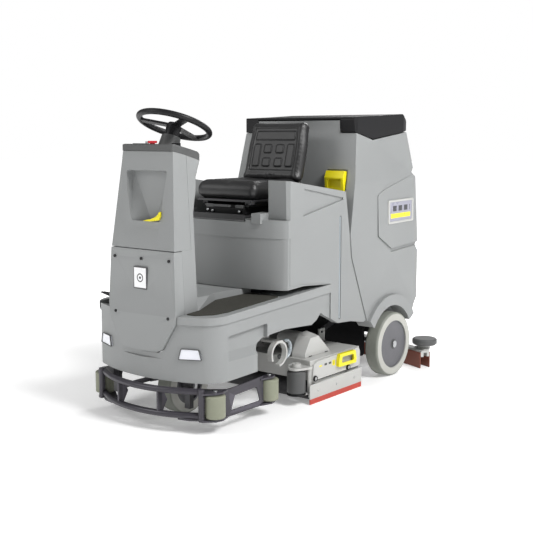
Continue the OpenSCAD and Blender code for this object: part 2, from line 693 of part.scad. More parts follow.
module lid_shell() difference() {
  intersection() {
    in_side(-358, 358, rounded([[252, 1274], [246, 1347], [470, 1357], [687, 1369], [761, 1331],
      [770, 1286], [742, 1281], [405, 1240]], [4, 14, 0, 18, 18, 4, 4, 30], 5));
    in_plan(1200, 1400, rounded([[-352, 240], [352, 240], [358, 700], [330, 790], [-330, 790],
      [-358, 700]], [30, 30, 30, 60, 60, 30], 5));
  }
  in_side(-262, 262, [[200, 1200], [200, 1336], [405, 1341], [408, 1232]]);
  in_side(-338, 338, [[300, 1250], [296, 1330], [660, 1350], [735, 1318], [738, 1270], [420, 1236]]);
  rod_x(-140, 140, lid_hinge, 17, 48);
}
module lid_knuckle() difference() {
  union() {
    rod_x(-112, 112, lid_hinge, 12, 48);
    in_side(-112, 112, [[752, 1292], [778, 1292], [778, 1304], [752, 1304]]);
  }
  rod_x(-120, 120, lid_hinge, 6 + run, 64);
}
module suction_turbine() color(dark_grey) {
  rod_z(1215, 1339, [0, 560], 78, 64);
  rod_z(1195, 1215, [0, 560], 52, 64);
  rod_z(1150, 1339, [-190, 560], 34, 48);
}
// Latch pivot: [y, z]
latch_pin = [206, 983];
module tank_latch() color(yellow) {
  rod_x(207, 317, latch_pin, 5, 32);
  latch_flap();
}
module latch_flap() difference() {
  in_side(207, 317, [[198, 983], [214, 982], [228, 1080], [205, 1084], [190, 1050]]);
  in_side(222, 302, [[180, 1000], [206, 1000], [212, 1046], [180, 1040]]);
}

// Pedals
heel = [-706, floor_z - 6];
module pedal(x0, x1, reach) color(black) difference() {
  union() {
    rod_x(x0, x1, heel, 8, 32);
    translate([x0, heel[0], heel[1]]) rotate([-24, 0, 0]) {
      translate([0, -reach, 0]) cube([x1 - x0, reach, 8]);
      for (i = [0:4]) translate([6, -reach + 10 + i * (reach - 30) / 4, 8]) cube([x1 - x0 - 12, 6, 3]);
    }
  }
  rod_x(x0 - 1, x1 + 1, heel, 4 + run, 48);
}
module accelerator_pedal() pedal(-334, -276, 118);
module brake_pedal() pedal(-268, -214, 92);

// Brush deck
module deck_housing() color("#c6c6c1") difference() {
  union() {
    box([-380, -168, 112], [380, -160, 206]);
    box([-380, -168, 196], [380, 252, 206]);
    box([-368, 66, 40], [368, 70, 196]);
    box([-376, 70, 98], [376, 244, 104]);
    box([-380, 244, 60], [380, 252, 206]);
    // End plates: whole on the right, open for the drawer on the left
    box([-384, -168, 30], [-376, 252, 206]);
    box([376, -168, 30], [384, 66, 206]);
    box([376, -168, 196], [384, 252, 206]);
    box([376, -168, 30], [384, 252, 104]);
    // Cover that matches the drawer's face on the other side
    in_side(-394, -384, drawer_face());
    // Corner flanges of the guide rollers
    twins() {
      in_plan(172, 182, rounded([[280, -164], [396, -164], [397, -196], [370, -262], [330, -266],
        [284, -204]], [0, 0, 14, 24, 24, 10]));
      in_plan(48, 56, [[374, -166], [382, -166], [382, -205], [362, -246], [330, -246], [318, -205]]);
      box([374, -176, 50], [382, -166, 176]);
      rod_z(182, 200, deck_roller, 22, 48);
      rod_z(42, 204, deck_roller, 6 - run, 32);
    }
    // Lugs for the lifting arms
    twins() in_side(166, 176, [[arm_low[0] - 24, 200], [arm_low[0] - 24, 274], [arm_low[0] + 24, 274],
      [arm_low[0] + 24, 200]]);
    // Lift rod
    rod_z(200, 372, [0, -60], 10, 64);
    rod_z(206, 226, [0, -60], 24, 48);
  }
  for (b = [front_brush, rear_brush]) rod_x(-400, 400, b, 12 + run, 64);
  twins() {
    // Slots give the arms' pins room for their arc
    in_side(160, 180, slot(arm_low - [2.4, 0], 5.6, 6.6));
  }
}
function slot(c, l, r) = concat(arc(c + [l / 2, 0], r, -90, 90, 10), arc(c - [l / 2, 0], r, 90, 270, 10));
module deck_motors() color("#d2d2cc") {
  twins() {
    hull() {
      in_side(262, 268, [[-150, 206.5], [84, 206.5], [58, 232], [-34, 316], [-100, 312], [-146, 232]]);
      in_side(330, 334, [[-140, 206.5], [70, 206.5], [50, 228], [-30, 300], [-96, 296], [-138, 228]]);
    }
    rod_x(120, 262, [-34, 258], 48, 64);
    rod_x(104, 120, [-34, 258], 30, 48);
  }
}
module deck_roller_body(x) color(dark_grey) translate([x, deck_roller[1], 0]) difference() {
  rotate_extrude($fn = 72) polygon(rounded([[6, 58], [roller_r - 6, 58], [roller_r, 64], [roller_r, 160],
    [roller_r - 6, 166], [6, 166]], 0));
  translate([0, 0, 40]) cylinder(h = 20, r = 7, $fn = 32);
}
module deck_roller_left() deck_roller_body(deck_roller[0]);
module deck_roller_right() deck_roller_body(-deck_roller[0]);
module deck_arms() color(black) twins() {
  hull() {
    rod_x(161, 164, arm_top, 16, 32);
    rod_x(161, 164, arm_low, 14, 32);
  }
  rod_x(149, 164, arm_top, 8, 64);
  rod_x(163, 178, arm_low, 6, 48);
}
module brush(b, h) color(h) {
  rod_x(-387, 387, b, 12, 64);
  rod_x(-brush_l, brush_l, b, 30, 48);
  difference() {
    rod_x(-brush_l, brush_l, b, brush_r, 64);
    rod_x(-brush_l - 1, brush_l + 1, b, 30, 48);
  }
}
module brush_front() brush(front_brush, "#1c1c1e");
module brush_rear() brush(rear_brush, "#1c1c1e");
function drawer_face() = rounded([[-157, 110], [248, 110], [248, 184], [236, 204], [-120, 198],
  [-150, 186]], [4, 4, 6, 8, 10, 8]);
module debris_drawer() color("#c6c6c1") {
  difference() {
    box([-364, 74, 108], [375.4, 238, 190]);
    box([-358, 80, 112], [369.4, 232, 200]);
  }
  // Front plate of the drawer
  difference() {
    union() {
      in_side(384.6, 394, drawer_face());
      in_side(375.4, 384.6, [[76, 108], [236, 108], [236, 190], [76, 190]]);
      for (p = [[-143, 119], [137, 121]]) rod_x(394, 402, p, 9, 32);
    }
    in_side(389, 400, rounded([[52, 140], [180, 146], [172, 186], [60, 180]], 5));
  }
}
module drawer_handle() color(yellow) difference() {
  in_side(394, 412, rounded([[34, 142], [188, 138], [192, 160], [182, 203], [46, 205], [36, 176]],
    [6, 6, 6, 8, 8, 8]));
  in_side(380, 406, rounded([[56, 150], [176, 148], [170, 194], [60, 196]], 6));
  in_side(380, 420, rounded([[60, 158], [170, 156], [164, 186], [66, 188]], 6));
}
module side_squeegee() {
  in_side(394.6, 400, [[-188, 26], [256, 26], [254, 100], [-188, 94]]);
  // Guides behind the plate
  for (y = [-140, 40, 220]) in_side(384.6, 394.6, [[y - 14, 60], [y + 14, 60], [y + 14, 92], [y - 14, 92]]);
  in_side(395, 399.4, [[-186, 0], [254, 0], [255, 26], [-187, 26]]);
  for (y = [-120, 34, 190]) rod_x(400, 402.5, [y, 58], 5, 24);
}
module side_squeegee_left() color("#c6c6c1") side_squeegee();
module side_squeegee_right() color("#c6c6c1") mirror([1, 0, 0]) side_squeegee();
module lift_actuator() color(steel) difference() {
  union() {
    rod_z(296, 436, [0, -60], 17.9, 64);
    rod_z(300, 330, [0, -60], 24, 48);
  }
  rod_z(290, 430, [0, -60], 10 + run, 64);
}
module hose_guard() color("#c6c6c1") {
  translate([300, -326, 262]) rotate([0, 90, 0]) rotate_extrude(angle = 300, $fn = 64)
    translate([50, 0]) square([10, 26]);
  box([236, -350, 312], [326, -302, 322]);
  box([236, -350, 312], [246, -302, 440]);
}

// Rear squeegee
module blade_arc(r0, r1, z0, z1, a = blade_a) translate([0, blade_y, 0]) rotate([0, 0, 90 - a])
  rotate_extrude(angle = 2 * a, $fn = 256) translate([r0, z0]) square([r1 - r0, z1 - z0]);
module squeegee_arm() color(black) {
  difference() {
    union() {
      twins() in_side(73, 81, rounded([[676, 214], [708, 246], [820, 176], [868, 176], [868, 162],
        [812, 158]], [8, 14, 8, 0, 0, 8]));
      rod_x(-58, 58, arm_pivot, 18, 48);
      in_plan(162, 176, rounded([[-81, 800], [81, 800], [60, 868], [-60, 868]], [0, 0, 20, 20]));
    }
    rod_z(150, 190, [0, swing_y], 10 + run, 64);
  }
  rod_x(-90, 90, arm_pivot, 10, 64);
}
module rear_squeegee() color("#c6c6c1") {
  difference() {
    union() {
      blade_arc(1042, 1060, 62, 92);
      blade_arc(1046, 1096, 84, 96);
      blade_arc(1082, 1096.5, 62, 92);
      in_plan(96, 110, rounded([[-150, swing_y - 30], [150, swing_y - 30], [150, 910], [-150, 910]], 16));
      rod_z(110, 161, [0, swing_y], 26, 48);
      // Brackets of the deflector discs
      twins() {
        rod_z(97, 118, deflector, 30, 48);
        in_plan(96, 103, rounded([[372, 838], [452, 800], [474, 836], [386, 876]], 10));
      }
    }
    twins() rod_z(70, 130, deflector, 8 + run, 64);
  }
  rod_z(160, 190, [0, swing_y], 10, 64);
  rod_z(180, 190, [0, swing_y], 16, 6);
}
module squeegee_blades() color("#7a3a2c") {
  blade_arc(blade_r - 5, blade_r, 0, 86);
  blade_arc(1036, 1041.9, 0, 86);
}
module deflector_disc(x) color(dark_grey) {
  translate([x, deflector[1], 0]) rotate_extrude($fn = 96)
    polygon(rounded([[0, 119], [57, 119], [67, 127], [67, 148], [59, 155], [0, 155]], [0, 4, 5, 5, 5, 0]));
  rod_z(97, 120, [x, deflector[1]], 8, 64);
}
module deflector_left() deflector_disc(deflector[0]);
module deflector_right() deflector_disc(-deflector[0]);

chassis_frame();
rear_axle();
platform_body();
foot_mats();
steering_column();
column_cover();
service_panel();
panel_screws();
name_plates();
console();
console_display();
headlights();
bumper_frame();
roller_bolts();
fresh_water_tank();
level_tube();
battery_pack();
drive_controller();
seat_mount();
recovery_tank();
lift_actuator();
hose_guard();
drive_yoke();
drive_wheel();
steering_lower_shaft();
steering_upper_shaft();
steering_wheel();
rear_wheel_left();
rear_wheel_right();
front_roller_left();
front_roller_right();
side_roller_left();
side_roller_right();
tank_lid();
suction_turbine();
tank_latch();
seat_cushion();
seat_backrest();
seat_pan();
accelerator_pedal();
brake_pedal();
key_switch();
program_knob();
emergency_button();
deck_housing();
deck_motors();
deck_arms();
brush_front();
brush_rear();
deck_roller_left();
deck_roller_right();
debris_drawer();
drawer_handle();
side_squeegee_left();
side_squeegee_right();
squeegee_arm();
rear_squeegee();
squeegee_blades();
deflector_left();
deflector_right();
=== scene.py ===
import bpy
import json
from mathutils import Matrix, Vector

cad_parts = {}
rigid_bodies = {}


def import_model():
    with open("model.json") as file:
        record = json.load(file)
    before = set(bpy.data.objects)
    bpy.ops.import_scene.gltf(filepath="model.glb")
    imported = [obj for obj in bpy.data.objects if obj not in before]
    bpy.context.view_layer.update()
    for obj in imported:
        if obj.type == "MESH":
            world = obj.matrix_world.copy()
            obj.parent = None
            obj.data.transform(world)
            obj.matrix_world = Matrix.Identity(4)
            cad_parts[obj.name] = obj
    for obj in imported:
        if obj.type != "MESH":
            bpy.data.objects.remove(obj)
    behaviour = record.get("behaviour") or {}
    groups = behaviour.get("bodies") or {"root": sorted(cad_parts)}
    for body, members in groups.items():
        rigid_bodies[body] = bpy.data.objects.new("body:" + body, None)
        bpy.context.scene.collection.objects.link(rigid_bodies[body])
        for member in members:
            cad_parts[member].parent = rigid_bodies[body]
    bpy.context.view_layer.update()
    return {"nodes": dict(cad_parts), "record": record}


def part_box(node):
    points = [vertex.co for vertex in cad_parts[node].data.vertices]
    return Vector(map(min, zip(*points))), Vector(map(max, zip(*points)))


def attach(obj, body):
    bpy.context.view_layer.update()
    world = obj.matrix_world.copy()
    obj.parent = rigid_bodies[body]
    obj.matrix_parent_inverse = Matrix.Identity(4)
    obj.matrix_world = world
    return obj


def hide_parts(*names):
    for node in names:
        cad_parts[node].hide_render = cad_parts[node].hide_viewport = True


for spare in list(bpy.data.objects):
    bpy.data.objects.remove(spare)
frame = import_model()

import bmesh
import json
import math
from mathutils import Matrix, Vector

NODES = frame["nodes"]
MM = 0.001


# ---------------------------------------------------------------- camera, stage and light

def make_camera():
    """The camera stands at the driver's front left, a little below the top of the tank lid."""
    data = bpy.data.cameras.new("camera")
    data.lens = 64.36
    data.sensor_width = 36.0
    camera = bpy.data.objects.new("camera", data)
    camera.location = (2.9383, -3.7259, 1.2495)
    camera.rotation_euler = (math.radians(90 - 7.74), 0.0, math.radians(38.35))
    bpy.context.scene.collection.objects.link(camera)
    bpy.context.scene.camera = camera


def make_area_light(name, place, target, size, power):
    data = bpy.data.lights.new(name, "AREA")
    data.shape = "DISK"
    data.size = size
    data.energy = power
    lamp = bpy.data.objects.new(name, data)
    lamp.location = place
    lamp.rotation_euler = (Vector(target) - Vector(place)).to_track_quat("-Z", "Y").to_euler()
    bpy.context.scene.collection.objects.link(lamp)


def make_stage():
    """A pale floor that fades into a white room, and three large soft lights."""
    mesh = bpy.data.meshes.new("floor")
    half = 40.0
    corners = [(-half, -half, 0), (half, -half, 0), (half, half, 0), (-half, half, 0)]
    mesh.from_pydata(corners, [], [(0, 1, 2, 3)])
    floor = bpy.data.objects.new("floor", mesh)
    bpy.context.scene.collection.objects.link(floor)
    shader = Shader("studio_floor")
    speck = shader.noise(40.0, 2.0)
    far = shader.step(shader.radius((0.0, 0.0, 0.0), "z"), 0.8, 2.6)
    shader.set("Base Color", shader.between(speck, (0.90, 0.90, 0.90), (0.93, 0.93, 0.93)))
    shader.set("Roughness", 0.75)
    shader.set("Specular IOR Level", 0.1)
    shader.set("Emission Color", (1.0, 1.0, 1.0))
    shader.set("Emission Strength", shader.blend(far, 0.22, 0.85))
    mesh.materials.append(shader.material)
    world = bpy.data.worlds.new("studio")
    world.use_nodes = True
    tree = world.node_tree
    background = tree.nodes["Background"]
    background.inputs["Color"].default_value = (1.0, 1.0, 1.0, 1.0)
    path = tree.nodes.new("ShaderNodeLightPath")
    strength = tree.nodes.new("ShaderNodeMix")
    strength.inputs[2].default_value = 0.30
    strength.inputs[3].default_value = 1.0
    tree.links.new(path.outputs["Is Camera Ray"], strength.inputs[0])
    tree.links.new(strength.outputs[0], background.inputs["Strength"])
    bpy.context.scene.world = world
    bpy.context.scene.view_settings.view_transform = "Standard"
    make_area_light("key_light", (4.6, -0.6, 4.6), (0, 0.1, 0.6), 2.2, 330)
    make_area_light("front_light", (-2.6, -4.6, 3.6), (0, -0.1, 0.6), 2.4, 80)
    make_area_light("back_light", (-1.0, 4.8, 4.2), (0, 0.4, 0.8), 2.6, 130)


# ---------------------------------------------------------------- materials

class Shader:
    """A small builder for one procedural material. Places are the rest position, in metres."""

    def __init__(self, name):
        self.material = bpy.data.materials.new(name)
        self.material.use_nodes = True
        self.tree = self.material.node_tree
        self.bsdf = self.tree.nodes["Principled BSDF"]
        self.place = self.tree.nodes.new("ShaderNodeTexCoord").outputs["Object"]

    def node(self, kind, **options):
        made = self.tree.nodes.new(kind)
        for key, value in options.items():
            setattr(made, key, value)
        return made

    def feed(self, socket, value):
        if isinstance(value, bpy.types.NodeSocket):
            self.tree.links.new(value, socket)
        elif isinstance(value, tuple) and len(value) == 3 and socket.type == "RGBA":
            socket.default_value = (*value, 1.0)
        else:
            socket.default_value = value

    def set(self, name, value):
        self.feed(self.bsdf.inputs[name], value)

    def noise(self, scale, detail=2.0):
        made = self.node("ShaderNodeTexNoise")
        self.feed(made.inputs["Vector"], self.place)
        made.inputs["Scale"].default_value = scale
        made.inputs["Detail"].default_value = detail
        return made.outputs["Fac"]

    def cells(self, scale, feature="F1"):
        made = self.node("ShaderNodeTexVoronoi", feature=feature)
        self.feed(made.inputs["Vector"], self.place)
        made.inputs["Scale"].default_value = scale
        return made.outputs["Distance"]

    def waves(self, scale, direction):
        """Soft stripes across one axis."""
        made = self.node("ShaderNodeTexWave", bands_direction=direction)
        self.feed(made.inputs["Vector"], self.place)
        made.inputs["Scale"].default_value = scale
        return made.outputs["Fac"]

    def math(self, operation, a, b=0.0, clamp=False):
        made = self.node("ShaderNodeMath", operation=operation, use_clamp=clamp)
        self.feed(made.inputs[0], a)
        self.feed(made.inputs[1], b)
        return made.outputs[0]

    def axis(self, letter):
        made = self.node("ShaderNodeSeparateXYZ")
        self.feed(made.inputs[0], self.place)
        return made.outputs[letter]

    def step(self, value, low, high):
        """0 below low and 1 above high, smooth between them."""
        made = self.node("ShaderNodeMapRange", interpolation_type="SMOOTHSTEP")
        self.feed(made.inputs["Value"], value)
        made.inputs["From Min"].default_value = low
        made.inputs["From Max"].default_value = high
        return made.outputs["Result"]

    def band(self, value, low, high, soft=0.0002):
        """1 between low and high, 0 outside."""
        inside = self.step(value, low - soft, low + soft)
        outside = self.step(value, high - soft, high + soft)
        return self.math("SUBTRACT", inside, outside, clamp=True)

    def between(self, factor, a, b):
        made = self.node("ShaderNodeMix", data_type="RGBA")
        self.feed(made.inputs[0], factor)
        self.feed(made.inputs[6], a)
        self.feed(made.inputs[7], b)
        return made.outputs[2]

    def blend(self, factor, a, b):
        made = self.node("ShaderNodeMix", data_type="FLOAT")
        self.feed(made.inputs[0], factor)
        self.feed(made.inputs[2], a)
        self.feed(made.inputs[3], b)
        return made.outputs[0]

    def radius(self, centre, axis="x"):
        """Distance from a line through centre along one axis."""
        shifted = self.node("ShaderNodeVectorMath", operation="SUBTRACT")
        self.feed(shifted.inputs[0], self.place)
        shifted.inputs[1].default_value = centre
        flat = self.node("ShaderNodeVectorMath", operation="MULTIPLY")
        self.feed(flat.inputs[0], shifted.outputs[0])
        flat.inputs[1].default_value = [0.0 if letter == axis else 1.0 for letter in "xyz"]
        length = self.node("ShaderNodeVectorMath", operation="LENGTH")
        self.feed(length.inputs[0], flat.outputs[0])
        return length.outputs["Value"]

    def wear(self):
        """1 on outer edges, 0 on flats."""
        geometry = self.node("ShaderNodeNewGeometry")
        return self.step(geometry.outputs["Pointiness"], 0.52, 0.60)

    def bump(self, height, distance):
        made = self.node("ShaderNodeBump")
        self.feed(made.inputs["Height"], height)
        made.inputs["Distance"].default_value = distance
        made.inputs["Strength"].default_value = 1.0
        self.feed(self.bsdf.inputs["Normal"], made.outputs["Normal"])


def scaled(colour, factor):
    return tuple(min(1.0, c * factor) for c in colour)


def moulded(name, colour, roughness=0.5, grain=700.0, depth=0.00012, shade=0.08, edge=1.25,
            shine=0.42):
    """Moulded plastic: fine texture of the mould, slow changes of shade, paler rubbed edges."""
    s = Shader(name)
    fine = s.noise(grain, 3.0)
    slow = s.noise(2.3, 3.0)
    speck = s.noise(grain * 0.5, 1.0)
    base = s.between(slow, scaled(colour, 1 - shade), scaled(colour, 1 + shade))
    base = s.between(s.math("MULTIPLY", speck, 0.18), base, scaled(colour, 0.72))
    base = s.between(s.math("MULTIPLY", s.wear(), 0.35), base, scaled(colour, edge))
    s.set("Base Color", base)
    smudge = s.noise(9.0, 4.0)
    s.set("Roughness", s.blend(smudge, roughness - 0.06, roughness + 0.08))
    s.set("Specular IOR Level", shine)
    s.bump(fine, depth)
    return s.material


def painted(name, colour, roughness=0.36):
    """Powder coat: orange peel, a little dust, bare edges."""
    s = Shader(name)
    peel = s.noise(420.0, 2.0)
    dust = s.noise(16.0, 5.0)
    base = s.between(s.math("MULTIPLY", dust, 0.25), colour, scaled(colour, 1.9))
    base = s.between(s.math("MULTIPLY", s.wear(), 0.5), base, scaled(colour, 3.0))
    s.set("Base Color", base)
    s.set("Roughness", s.blend(dust, roughness - 0.05, roughness + 0.12))
    s.set("Metallic", 0.15)
    s.bump(peel, 0.00010)
    return s.material


def metal(name, colour, roughness=0.3):
    """Bare metal with a fine grain and a few dull patches."""
    s = Shader(name)
    lines = s.noise(300.0, 4.0)
    patch = s.noise(14.0, 4.0)
    s.set("Base Color", s.between(patch, scaled(colour, 0.82), scaled(colour, 1.1)))
    s.set("Metallic", 1.0)
    s.set("Roughness", s.blend(s.math("MULTIPLY", lines, patch), roughness, roughness + 0.25))
    s.bump(lines, 0.00004)
    return s.material


def cast_alloy(name, colour):
    """Cast metal with a coarse skin."""
    s = Shader(name)
    skin = s.noise(260.0, 5.0)
    s.set("Base Color", s.between(s.noise(12.0, 4.0), scaled(colour, 0.8), colour))
    s.set("Metallic", 0.85)
    s.set("Roughness", s.blend(skin, 0.42, 0.62))
    s.bump(skin, 0.0002)
    return s.material


def rubber(name, colour, roughness):
    """Rubber: dull, mottled, with a faint bloom."""
    s = Shader(name)
    bloom = s.noise(22.0, 5.0)
    fine = s.noise(900.0, 2.0)
    base = s.between(bloom, scaled(colour, 0.85), scaled(colour, 1.15))
    s.set("Base Color", s.between(s.math("MULTIPLY", fine, 0.2), base, scaled(colour, 0.6)))
    s.set("Roughness", s.blend(bloom, roughness - 0.08, roughness + 0.1))
    s.bump(fine, 0.00012)
    return s.material


def vinyl(name, colour):
    """Coated seat vinyl: a leather-like grain of small cells, softly shiny."""
    s = Shader(name)
    cells = s.cells(420.0)
    crease = s.cells(150.0, "DISTANCE_TO_EDGE")
    height = s.math("ADD", cells, s.math("MULTIPLY", crease, 0.8))
    rub = s.noise(7.0, 4.0)
    s.set("Base Color", s.between(rub, scaled(colour, 0.8), scaled(colour, 1.5)))
    s.set("Roughness", s.blend(rub, 0.34, 0.50))
    s.set("Specular IOR Level", 0.55)
    s.bump(height, 0.00016)
    return s.material


def mat_rubber(name, colour):
    """Foot mat: small raised studs in rows and a sandy surface."""
    s = Shader(name)
    across = s.waves(95.0, "X")
    along = s.waves(95.0, "Y")
    studs = s.step(s.math("MULTIPLY", across, along), 0.35, 0.65)
    sand = s.noise(800.0, 3.0)
    dust = s.noise(10.0, 5.0)
    base = s.between(s.math("MULTIPLY", studs, 0.5), colour, scaled(colour, 1.7))
    s.set("Base Color", s.between(s.math("MULTIPLY", dust, 0.35), base, scaled(colour, 1.5)))
    s.set("Roughness", s.blend(sand, 0.7, 0.85))
    s.bump(s.math("ADD", studs, s.math("MULTIPLY", sand, 0.3)), 0.0005)
    return s.material


def lens(name):
    """Headlamp lens: a clear cover with fine ribs over a white diffuser."""
    s = Shader(name)
    ribs = s.waves(70.0, "Z")
    s.set("Base Color", s.between(ribs, (0.66, 0.67, 0.73), (0.84, 0.85, 0.90)))
    s.set("Roughness", s.blend(ribs, 0.08, 0.16))
    s.set("Coat Weight", 1.0)
    s.set("Coat Roughness", 0.04)
    s.set("Emission Color", (0.9, 0.95, 1.0))
    s.set("Emission Strength", 0.05)
    s.bump(ribs, 0.0005)
    return s.material


def screen(name):
    """Dark display glass with a dim grid of segments under it."""
    s = Shader(name)
    grid = s.math("MULTIPLY", s.waves(260.0, "X"), s.waves(260.0, "Y"))
    s.set("Base Color", s.between(s.step(grid, 0.7, 0.9), (0.012, 0.016, 0.02), (0.03, 0.05, 0.055)))
    s.set("Roughness", s.blend(s.noise(30.0), 0.06, 0.14))
    s.set("Coat Weight", 1.0)
    return s.material


def clear_hose(name, colour):
    """Clear hose with water standing in part of it."""
    s = Shader(name)
    level = s.noise(6.0, 1.0)
    s.set("Base Color", s.between(level, scaled(colour, 0.85), scaled(colour, 1.15)))
    s.set("Roughness", s.blend(s.noise(60.0), 0.12, 0.24))
    s.set("Transmission Weight", 0.55)
    s.set("IOR", 1.45)
    s.bump(s.noise(130.0), 0.0002)
    return s.material


def bristle(name, colour):
    """Nylon filaments, each a slightly different shade."""
    s = Shader(name)
    hairs = s.noise(500.0, 2.0)
    s.set("Base Color", s.between(hairs, scaled(colour, 0.55), scaled(colour, 1.3)))
    s.set("Roughness", s.blend(hairs, 0.4, 0.6))
    s.bump(hairs, 0.0006)
    return s.material


# Base colours, and where each printed or two-coloured surface changes, in metres
GREY = (0.262, 0.270, 0.270)
DARK_GREY = (0.085, 0.087, 0.087)
BLACK = (0.011, 0.011, 0.012)
PALE = (0.47, 0.47, 0.455)
YELLOW = (0.80, 0.70, 0.012)
RIM = Vector((0.0, 0.552, 0.1686))
DRIVE_RIM = (0.0, -0.626, 0.130)
HUB_EDGE = 0.1245


def wheel_rubber(name, centre, hub_edge, tread_edge):
    """A wheel in one piece: dark hub disc, pale sidewall and a darker worn tread."""
    s = Shader(name)
    r = s.radius(centre)
    fine = s.noise(700.0, 3.0)
    dirt = s.noise(18.0, 5.0)
    side = s.between(dirt, (0.42, 0.42, 0.385), (0.50, 0.50, 0.465))
    tread = s.between(dirt, (0.17, 0.18, 0.155), (0.25, 0.26, 0.23))
    tyre = s.between(s.step(r, tread_edge - 0.004, tread_edge + 0.003), side, tread)
    hub = s.between(dirt, (0.095, 0.095, 0.105), (0.12, 0.12, 0.13))
    s.set("Base Color", s.between(s.step(r, hub_edge - 0.0004, hub_edge + 0.0004), hub, tyre))
    s.set("Roughness", s.blend(s.step(r, hub_edge, hub_edge + 0.001), 0.45, 0.72))
    s.bump(s.math("ADD", fine, s.math("MULTIPLY", dirt, 0.3)), 0.00022)
    return s.material


def plate_finish(name):
    """Printed plates. The side ones are lavender grey with a dark bar and a yellow stripe."""
    s = Shader(name)
    z = s.axis("Z")
    y = s.axis("Y")
    x = s.axis("X")
    side = s.between(s.noise(8.0), (0.27, 0.27, 0.33), (0.31, 0.31, 0.37))
    inset = s.band(y, 0.550, 0.750)
    slope = s.math("ADD", z, s.math("MULTIPLY", y, -0.012))
    side = s.between(s.math("MULTIPLY", s.band(slope, 0.822, 0.846), inset), side, YELLOW)
    dashes = s.band(s.waves(5.6, "Y"), 0.28, 2.0, 0.01)
    print_area = s.math("MULTIPLY", s.band(slope, 0.858, 0.886), s.band(y, 0.556, 0.744))
    side = s.between(s.math("MULTIPLY", print_area, dashes), side, (0.03, 0.03, 0.035))
    frame_x = s.band(x, -0.039, 0.033)
    frame_z = s.band(z, 0.607, 0.693)
    inner = s.math("MULTIPLY", frame_x, frame_z)
    front = s.between(inner, (0.06, 0.06, 0.065), (0.86, 0.86, 0.87))
    ring = s.radius((-0.003, 0.0, 0.650), "y")
    mark = s.math("MAXIMUM", s.band(ring, 0.014, 0.019), s.band(ring, 0.0, 0.006))
    front = s.between(mark, front, (0.03, 0.03, 0.033))
    s.set("Base Color", s.between(s.step(y, -0.1, 0.1), front, side))
    s.set("Roughness", s.blend(s.noise(20.0), 0.22, 0.36))
    s.set("Coat Weight", 0.3)
    return s.material


def lipped_plate(name, lip_top):
    """Side squeegee: a pale plate above a red rubber lip."""
    s = Shader(name)
    lip = s.math("SUBTRACT", 1.0, s.step(s.axis("Z"), lip_top - 0.0004, lip_top + 0.0004))
    fine = s.noise(800.0, 3.0)
    slow = s.noise(6.0, 4.0)
    plate = s.between(slow, scaled(PALE, 0.94), scaled(PALE, 1.06))
    rubber_red = s.between(slow, (0.40, 0.040, 0.026), (0.52, 0.062, 0.042))
    s.set("Base Color", s.between(lip, plate, rubber_red))
    s.set("Roughness", s.blend(lip, 0.38, 0.56))
    s.bump(fine, 0.0001)
    return s.material


def drawer_print(name):
    """Drawer plastic with a plain dark bar and a yellow label on its outer face."""
    s = Shader(name)
    y = s.axis("Y")
    z = s.axis("Z")
    outer = s.step(s.axis("X"), 0.3936, 0.3939)
    slow = s.noise(2.6, 3.0)
    base = s.between(slow, scaled(PALE, 0.95), scaled(PALE, 1.05))
    dash = s.band(s.waves(9.0, "Y"), 0.30, 2.0, 0.01)
    bar = s.math("MULTIPLY", s.band(z, 0.166, 0.177), s.band(y, -0.074, -0.006))
    bar = s.math("MULTIPLY", bar, dash)
    base = s.between(s.math("MULTIPLY", bar, outer), base, (0.05, 0.05, 0.05))
    spot = s.math("MULTIPLY", s.band(z, 0.166, 0.174), s.band(y, -0.106, -0.084))
    base = s.between(s.math("MULTIPLY", spot, outer), base, YELLOW)
    label = s.math("MULTIPLY", s.band(z, 0.153, 0.180), s.band(y, 0.004, 0.026))
    inside = s.math("MULTIPLY", s.band(z, 0.158, 0.175), s.band(y, 0.009, 0.021))
    base = s.between(s.math("MULTIPLY", label, outer), base, YELLOW)
    shade = s.math("MULTIPLY", s.math("MULTIPLY", inside, outer), 0.55)
    base = s.between(shade, base, (0.3, 0.27, 0.01))
    s.set("Base Color", base)
    s.set("Roughness", s.blend(s.noise(9.0, 4.0), 0.34, 0.48))
    s.bump(s.noise(900.0, 2.0), 0.00008)
    return s.material


def punched_plate(name, colour):
    """Black apron plate with a row of small pale holes along its foot."""
    s = Shader(name)
    across = s.waves(26.0, "X")
    row = s.band(s.axis("Z"), 0.8685, 0.8725, 0.0004)
    front = s.math("SUBTRACT", 1.0, s.step(s.axis("Y"), -0.3905, -0.3895))
    holes = s.math("MULTIPLY", s.math("MULTIPLY", s.step(across, 0.72, 0.86), row), front)
    weave = s.math("MULTIPLY", s.waves(120.0, "X"), s.waves(120.0, "Z"))
    s.set("Base Color", s.between(holes, s.between(weave, colour, scaled(colour, 2.6)),
                                  (0.34, 0.34, 0.34)))
    s.set("Roughness", s.blend(weave, 0.42, 0.6))
    s.bump(weave, 0.0003)
    return s.material


